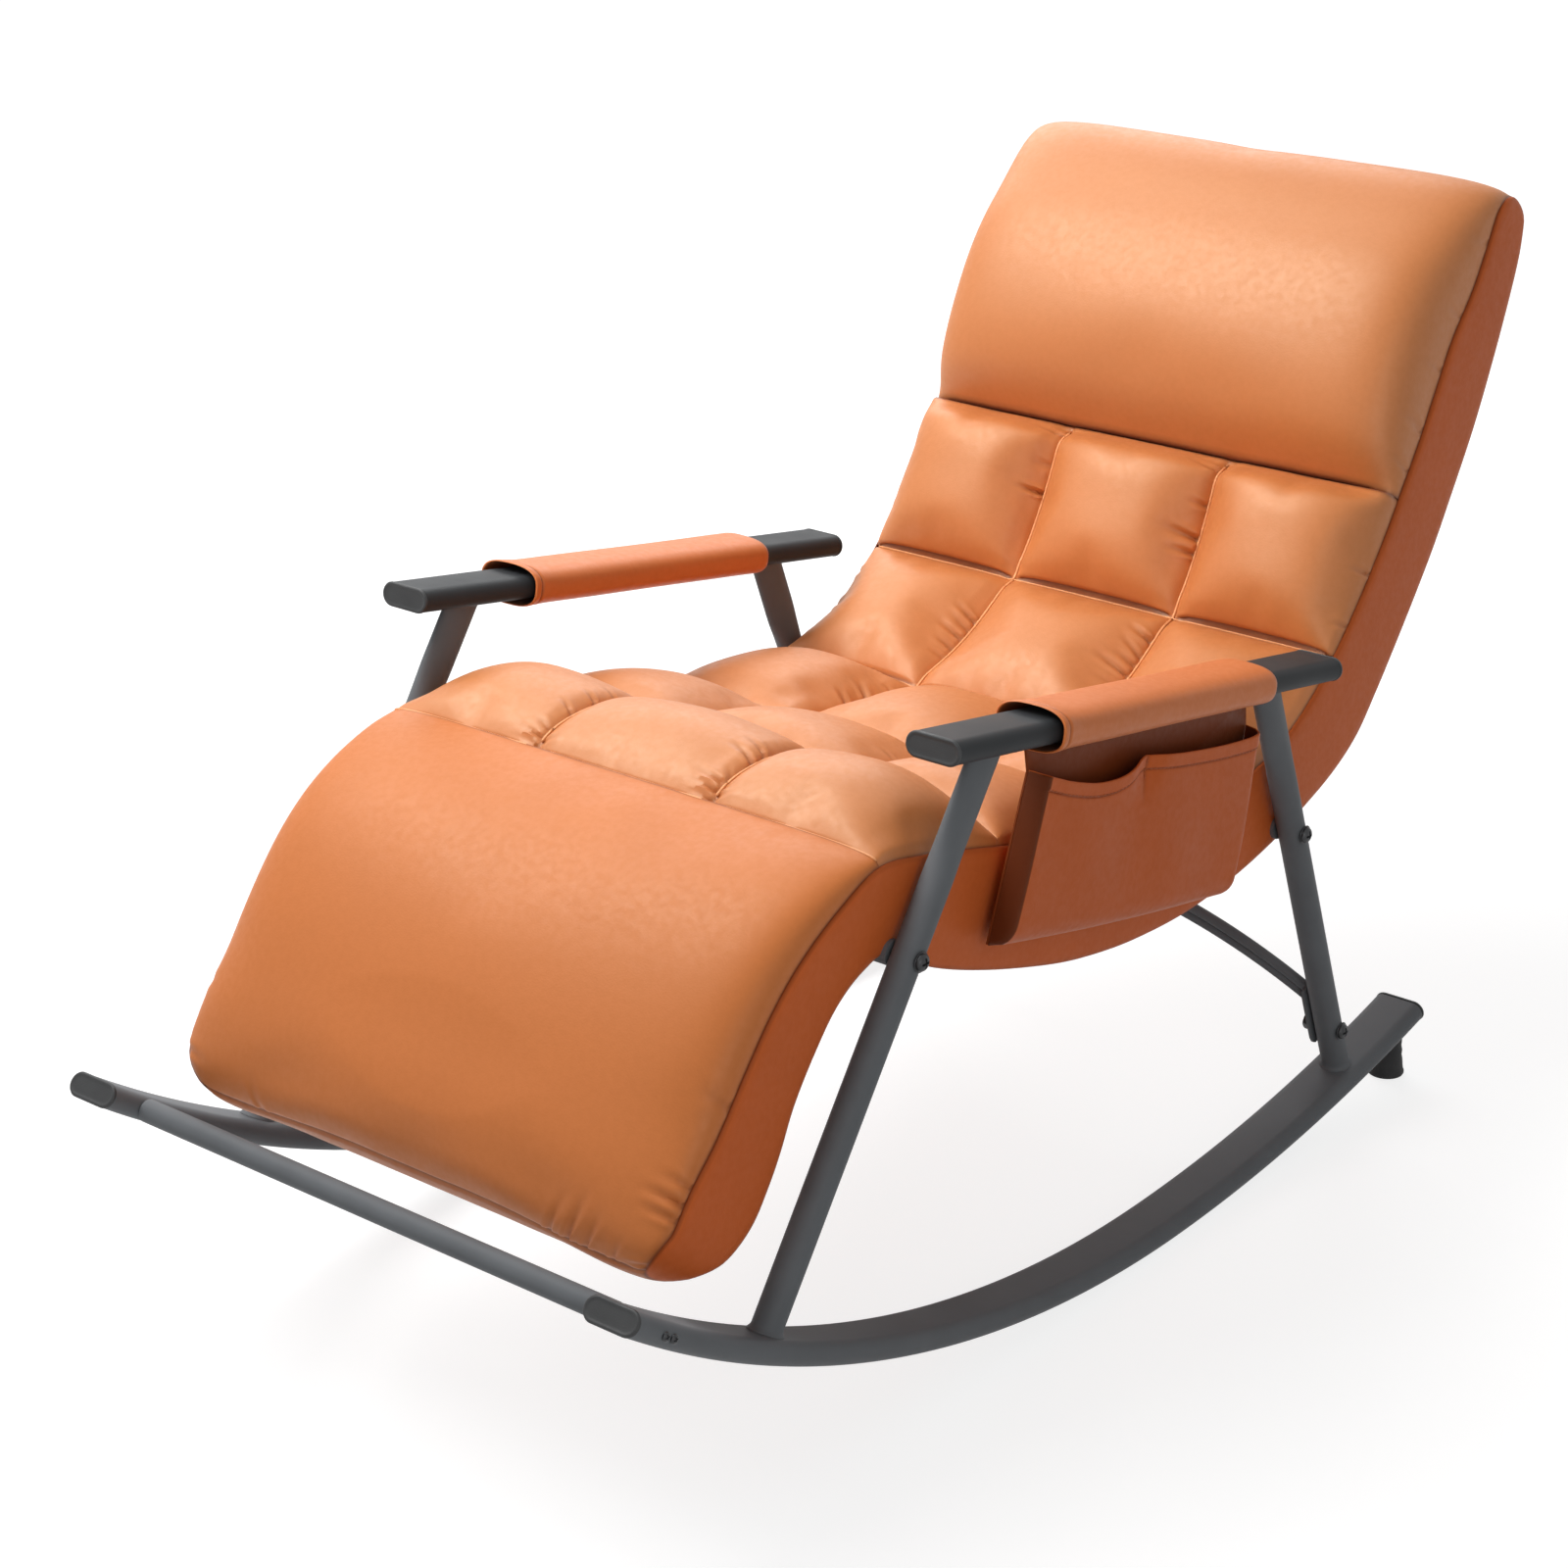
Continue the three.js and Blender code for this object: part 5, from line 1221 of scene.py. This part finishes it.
def make_pouch():
    """Full outer leather of the pocket, sewn down at its divider; returns its seams."""
    u = np.concatenate([np.linspace(0, 0.024, 13), np.linspace(0.032, 1, 108)])
    v = np.concatenate([np.linspace(0, 0.84, 36), np.linspace(0.848, 1, 26)])
    grid = pouch_grid(u, v)
    width = np.linalg.norm(grid[:, -1] - grid[:, 0], axis=1)[:, None]
    height = np.linalg.norm(grid[-1] - grid[0], axis=1)
    from_front, from_rear, from_bottom = u * width, (1 - u) * width, v[:, None] * height
    from_mouth = height * (1 - v[:, None])
    divider_u = (DIVIDER - POUCH_FRONT[1][0]) / (POUCH_REAR[2][0] - POUCH_FRONT[1][0])
    to_divider = np.abs(u - divider_u) * width
    stitched = np.clip((v - 0.72) / 0.2, 0, 1)[:, None]
    bulge = np.sin(math.pi * v)[:, None]
    depth = POUCH_DEPTH * rounded(from_front, 0.0035) * rounded(from_rear, 0.014)
    depth *= rounded(from_bottom, 0.022)
    depth *= 1 - stitched * (0.26 * near(to_divider, 0.018) + 0.08 * near(to_divider, 0.0022))
    depth += 0.0016 * bulge * np.sin(2 * math.pi * u + 0.5) ** 2
    waves = 0.0007 * np.sin(19 * u + 5 * v[:, None]) * bulge
    depth += waves * rounded(from_front, 0.03) * rounded(from_rear, 0.03)
    hem = from_mouth < HEM_SEAM
    depth += 0.0008 * hem - 0.0009 * near(from_mouth - HEM_SEAM, 0.0011)
    outer = np.dstack([POUCH_BACK + 0.0004 + np.minimum(depth, MOST_DEPTH), grid])
    inner = outer.copy()
    inner[..., 0] = np.maximum(outer[..., 0] - (0.0018 + 0.0008 * hem), POUCH_BACK)
    inner[..., 0][(from_bottom < 0.004) | (from_front < 0.003) | (from_rear < 0.003)] = POUCH_BACK
    lips = [outer[-1] * (1 - t) + inner[-1] * t + [0, 0, rise]
            for t, rise in ((0.2, 0.0009), (0.5, 0.0012), (0.8, 0.0009))]
    rows = np.concatenate([outer, lips, inner[::-1]])
    n, m = rows.shape[:2]
    faces = grid_faces(n, m, closed_rows=True)
    faces += [tuple(r * m for r in range(n)), tuple(r * m + m - 1 for r in range(n))]
    # Painted shade: along the divider's stitching and the hem's seam, near-black on the front wall beside
    # the body, and on the whole inside.
    dark = np.zeros((n, m))
    dark[:len(v)] = np.max([0.7 * stitched * near(to_divider, 0.0014),
                            0.6 * near(from_mouth - HEM_SEAM, 0.001),
                            0.95 * np.clip((0.0042 - from_front) / 0.0010, 0, 1)], axis=0)
    dark[len(v) + 3:] = 0.9
    pouch = mesh_piece("pocket_pouch_leather", (rows.reshape(-1, 3), faces), pocket_leather,
                       stands_for="pocket_pouch", slot="leather", sharp=60, painted_shade=dark.ravel())
    middle = 64
    seam_row = np.argmin(np.abs(height[middle] * (1 - v) - HEM_SEAM))
    divider = int(round(np.interp(divider_u, u, np.arange(len(u)))))
    return [outer[seam_row, 8:] + [0.0004, 0, 0], outer[38:-1, divider] + [0.0004, 0, 0]]


def make_pocket_back():
    """Flat leather that hangs from the sleeve and carries the pouch."""
    front_low, rear_low = POUCH_FRONT[0], POUCH_REAR[0]
    past_pouch = [[0.006], [0]]
    low_shares = np.linspace(rear_low[0] - 0.005, front_low[0] + 0.005, 40)
    low_drops = np.interp(low_shares, [front_low[0], rear_low[0]], [front_low[1], rear_low[1]])
    edge = np.vstack([below_arm(np.linspace(0.0, BACK_REAR, 40), np.full(40, BACK_TOP)),
                      below_arm(*(np.transpose(POUCH_REAR[::-1]) + past_pouch)),
                      below_arm(low_shares, low_drops), below_arm(*np.transpose(POUCH_FRONT))])
    edge = evenly(np.vstack([edge, edge[:1]]), 240)[:-1]
    panel = plate(edge, [(0.2785, 0.996), (0.2789, 1.0), (0.2806, 1.0), (0.2810, 0.996)])
    # The whole panel carries painted shade, standing for the shadow under the sleeve and inside the pocket.
    back = mesh_piece("pocket_back_leather", panel, pocket_leather, stands_for="pocket_back_panel",
                      slot="leather", sharp=40, painted_shade=np.full(len(panel[0]), 0.8))


# ==== sides and underside of the body

foot_mid, head_mid = (foot_under + foot_seam) / 2, (head_seam + head_under) / 2
upper_edge, lower_edge = (
    np.vstack([roll(FOOT_ROLL, FOOT_RADIUS, foot_mid, at_foot, 12)[0][:-1], line,
               roll(HEAD_ROLL, HEAD_RADIUS, at_head, head_mid, 12)[0][1:]])
    for at_foot, line, at_head in ((foot_seam, seam_line, head_seam), (foot_under, under_line, head_under)))
SIDE_BACK, SIDE_EDGE = 0.26385, 0.2641
UNDER_HALF, UNDER_THICKNESS, UNDER_GAP = 0.2635, 0.0022, 0.0125


def make_side(side, sign):
    """Leather side of the body: crowned between the side seam and the underside's seam."""
    n, m = 320, 15
    a, b = evenly(upper_edge, n), evenly(lower_edge, n)
    share = 0.5 - 0.5 * np.cos(np.linspace(0, math.pi, m))
    plane = a[:, None] * (1 - share[:, None]) + b[:, None] * share[:, None]
    from_seams = np.minimum(share, 1 - share) * np.linalg.norm(b - a, axis=1)[:, None]
    from_ends = np.minimum(np.arange(n), np.arange(n)[::-1]) * lengths(upper_edge)[-1] / n
    d = np.minimum(from_seams, np.maximum(from_ends, 0.0002)[:, None])
    rise = 0.0028 * rounded(d, 0.010) + 0.0010 * np.clip(d / 0.06, 0, 1)
    skin = shell(np.dstack([sign * (SIDE_EDGE + rise), plane]),
                 np.dstack([np.full((n, m), sign * SIDE_BACK), plane]))
    # Painted shade along the side's seams, and full on its hidden back face.
    piece = mesh_piece(f"shaded_side_leather_{side}", cornered(skin), shaded_side_leather,
                       stands_for=f"side_panel_{side}", slot="leather", sharp=60,
                       painted_shade=np.concatenate([0.7 * near(d, 0.0014).ravel(), np.ones(n * m)]))


def make_under(name, node_name, start, end):
    """Leather underside between the two sides, slightly crowned."""
    n, m = max(24, int((end - start) / 0.008)), 25
    line = at_lengths(under_line, np.linspace(start, end, n))[:, None]
    out = -left_of(directions(line[:, 0]))[:, None]
    x = np.linspace(-1, 1, m)
    crown = 0.0018 * (1 - x ** 6)[:, None]
    across = np.tile(x * UNDER_HALF, (n, 1))
    skin = shell(np.dstack([across, line + out * crown]),
                 np.dstack([across, line + out * (crown - UNDER_THICKNESS)]))
    # Painted shade along both seams, and full on the hidden inner face.
    seam_shade = np.tile(np.abs(x) > 0.985, n) * 0.8
    piece = mesh_piece(name, cornered(skin), cover_leather, stands_for=node_name, slot="leather",
                       sharp=60, painted_shade=np.concatenate([seam_shade, np.ones(n * m)]))


hem_lines = []
for side, sign in SIDES.items():
    hem_lines += make_sleeve(side, sign)
    make_side(side, sign)
pocket_lines = make_pouch()
make_pocket_back()
# The underside is open where the front seat tube, the one through the front leg bolts, passes.
under_s = lengths(under_line)
tube_place = middle_of("front_leg_bolt_left")
tube_s = under_s[np.argmin(np.linalg.norm(under_line - tube_place, axis=1))]
make_under("calf_under_leather", "calf_underside_cover", 0.0, tube_s - UNDER_GAP)
make_under("seat_under_leather", "seat_underside_cover", tube_s + UNDER_GAP, under_s[-1])
stitches(hem_lines + pocket_lines).piece("cover_stitching", thread, slot="leather", sharp=0)
welts = Parts()
for lines, radius in ((column_lines, 0.0013), (row_lines, 0.0009)):
    for line in lines:
        welts.add(round_rod(evenly(line, 360), radius, 8, ends=(0.3, 0.3)))
welts.piece("tuft_welts", painted_highlight_welt_leather, slot="padded_leather", sharp=0)
stitches([line + [0, 0, 0.0009] for line in column_lines], radius=0.0003).piece(
    "column_stitching", pale_thread, slot="padded_leather", sharp=0)

# ==== camera, light and floor

camera_data = bpy.data.cameras.new("camera")
camera_data.lens, camera_data.sensor_width = 78.61, 36
camera = bpy.data.objects.new("camera", camera_data)
camera.location = (1.7327, SHIFT - 2.31936, 1.5328)
AZIMUTH, ELEVATION = 39.0047, 21.9736
camera.rotation_euler = (math.radians(90 - ELEVATION), 0, math.radians(AZIMUTH))
scene.collection.objects.link(camera)
scene.camera = camera
scene.view_settings.view_transform = "Standard"


LAMPS = [
    ("overhead", (-1.25, -0.6, 2.65), (0, 0.1, 0.5), (1.7, 1.7), 64, 180),
    ("back_fill", (-0.7, -1.3, 2.3), (0, 0.3, 0.42), (0.9, 0.9), 0.8, 32),
    ("front_fill", (-1.6, -3.0, 1.6), (0, 0.1, 0.5), (1.4, 1.4), 4, 180),
    ("back_softbox", (-1.8, 1.9, 2.1), (0, 0, 0.4), (2.2, 1.6), 34, 180),
    ("side_fill", (2.65, -1.9, 1.3), (0, 0, 0.4), (1.6, 1.6), 17, 180),
]
for name, place, target, (width, height), power, spread in LAMPS:
    data = bpy.data.lights.new(name, "AREA")
    data.shape, data.size, data.size_y = "RECTANGLE", width, height
    data.energy, data.spread = power, math.radians(spread)
    lamp = bpy.data.objects.new(name, data)
    lamp.location = place
    lamp.rotation_euler = (Vector(target) - Vector(place)).to_track_quat("-Z", "Y").to_euler()
    lamp.visible_camera = False
    scene.collection.objects.link(lamp)


def seen_rays(tree):
    """1 for what the camera and reflections see, 0 for the light that falls on things."""
    rays = tree.nodes.new("ShaderNodeLightPath").outputs
    most = sum_of(tree, "MAXIMUM", rays["Is Camera Ray"], rays["Is Glossy Ray"])
    return sum_of(tree, "MAXIMUM", most, rays["Is Transmission Ray"])


WHITE, FLOOR_SEEN, FLOOR_LIT = (1, 1, 1, 1), (0.36, 0.36, 0.36, 1), (0.55, 0.55, 0.55, 1)
floor_material, tree, shader, coord = new_surface("floor")
seen = seen_rays(tree)
reach = node(tree, "ShaderNodeVectorMath", {0: coord}, operation="LENGTH").outputs["Value"]
put_in(tree, shader, {
    "Base Color": mixed(tree, seen, FLOOR_LIT, FLOOR_SEEN), "Roughness": 0.9, "Specular IOR Level": 0.0,
    "Emission Color": WHITE,
    "Emission Strength": sum_of(tree, "MULTIPLY", seen, ramp(tree, reach, 0.79, 1, 1.0, 3.0))})
floor_mesh = bpy.data.meshes.new("floor")
floor_mesh.from_pydata([(-12, -12, 0), (12, -12, 0), (12, 12, 0), (-12, 12, 0)], [], [(0, 1, 2, 3)])
floor_mesh.materials.append(floor_material)
floor = bpy.data.objects.new("floor", floor_mesh)
scene.collection.objects.link(floor)

scene.world = bpy.data.worlds.new("studio")
tree, out = new_tree(scene.world, "ShaderNodeOutputWorld")
soft, white = (node(tree, "ShaderNodeBackground", {"Color": WHITE, "Strength": strength}).outputs[0]
               for strength in (0.24, 1))
shown = node(tree, "ShaderNodeMixShader", {0: seen_rays(tree), 1: soft, 2: white})
tree.links.new(shown.outputs[0], out.inputs[0])

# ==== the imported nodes' materials

SLOT_MATERIALS = {
    "powder_coated_steel": steel, "tube_cap": cap_plastic, "rubber": rubber, "fastener": bolt_steel,
    "leather": shaded_side_leather, "padded_leather": pad_leather, "webbing": webbing,
}
for part in frame["record"]["subparts"]:
    shown = frame["nodes"][part["node"]]
    material = SLOT_MATERIALS[part["material_slot"]]
    if not shown.material_slots:
        shown.data.materials.append(material)
    for held in shown.material_slots:
        held.link = "OBJECT"
        held.material = material
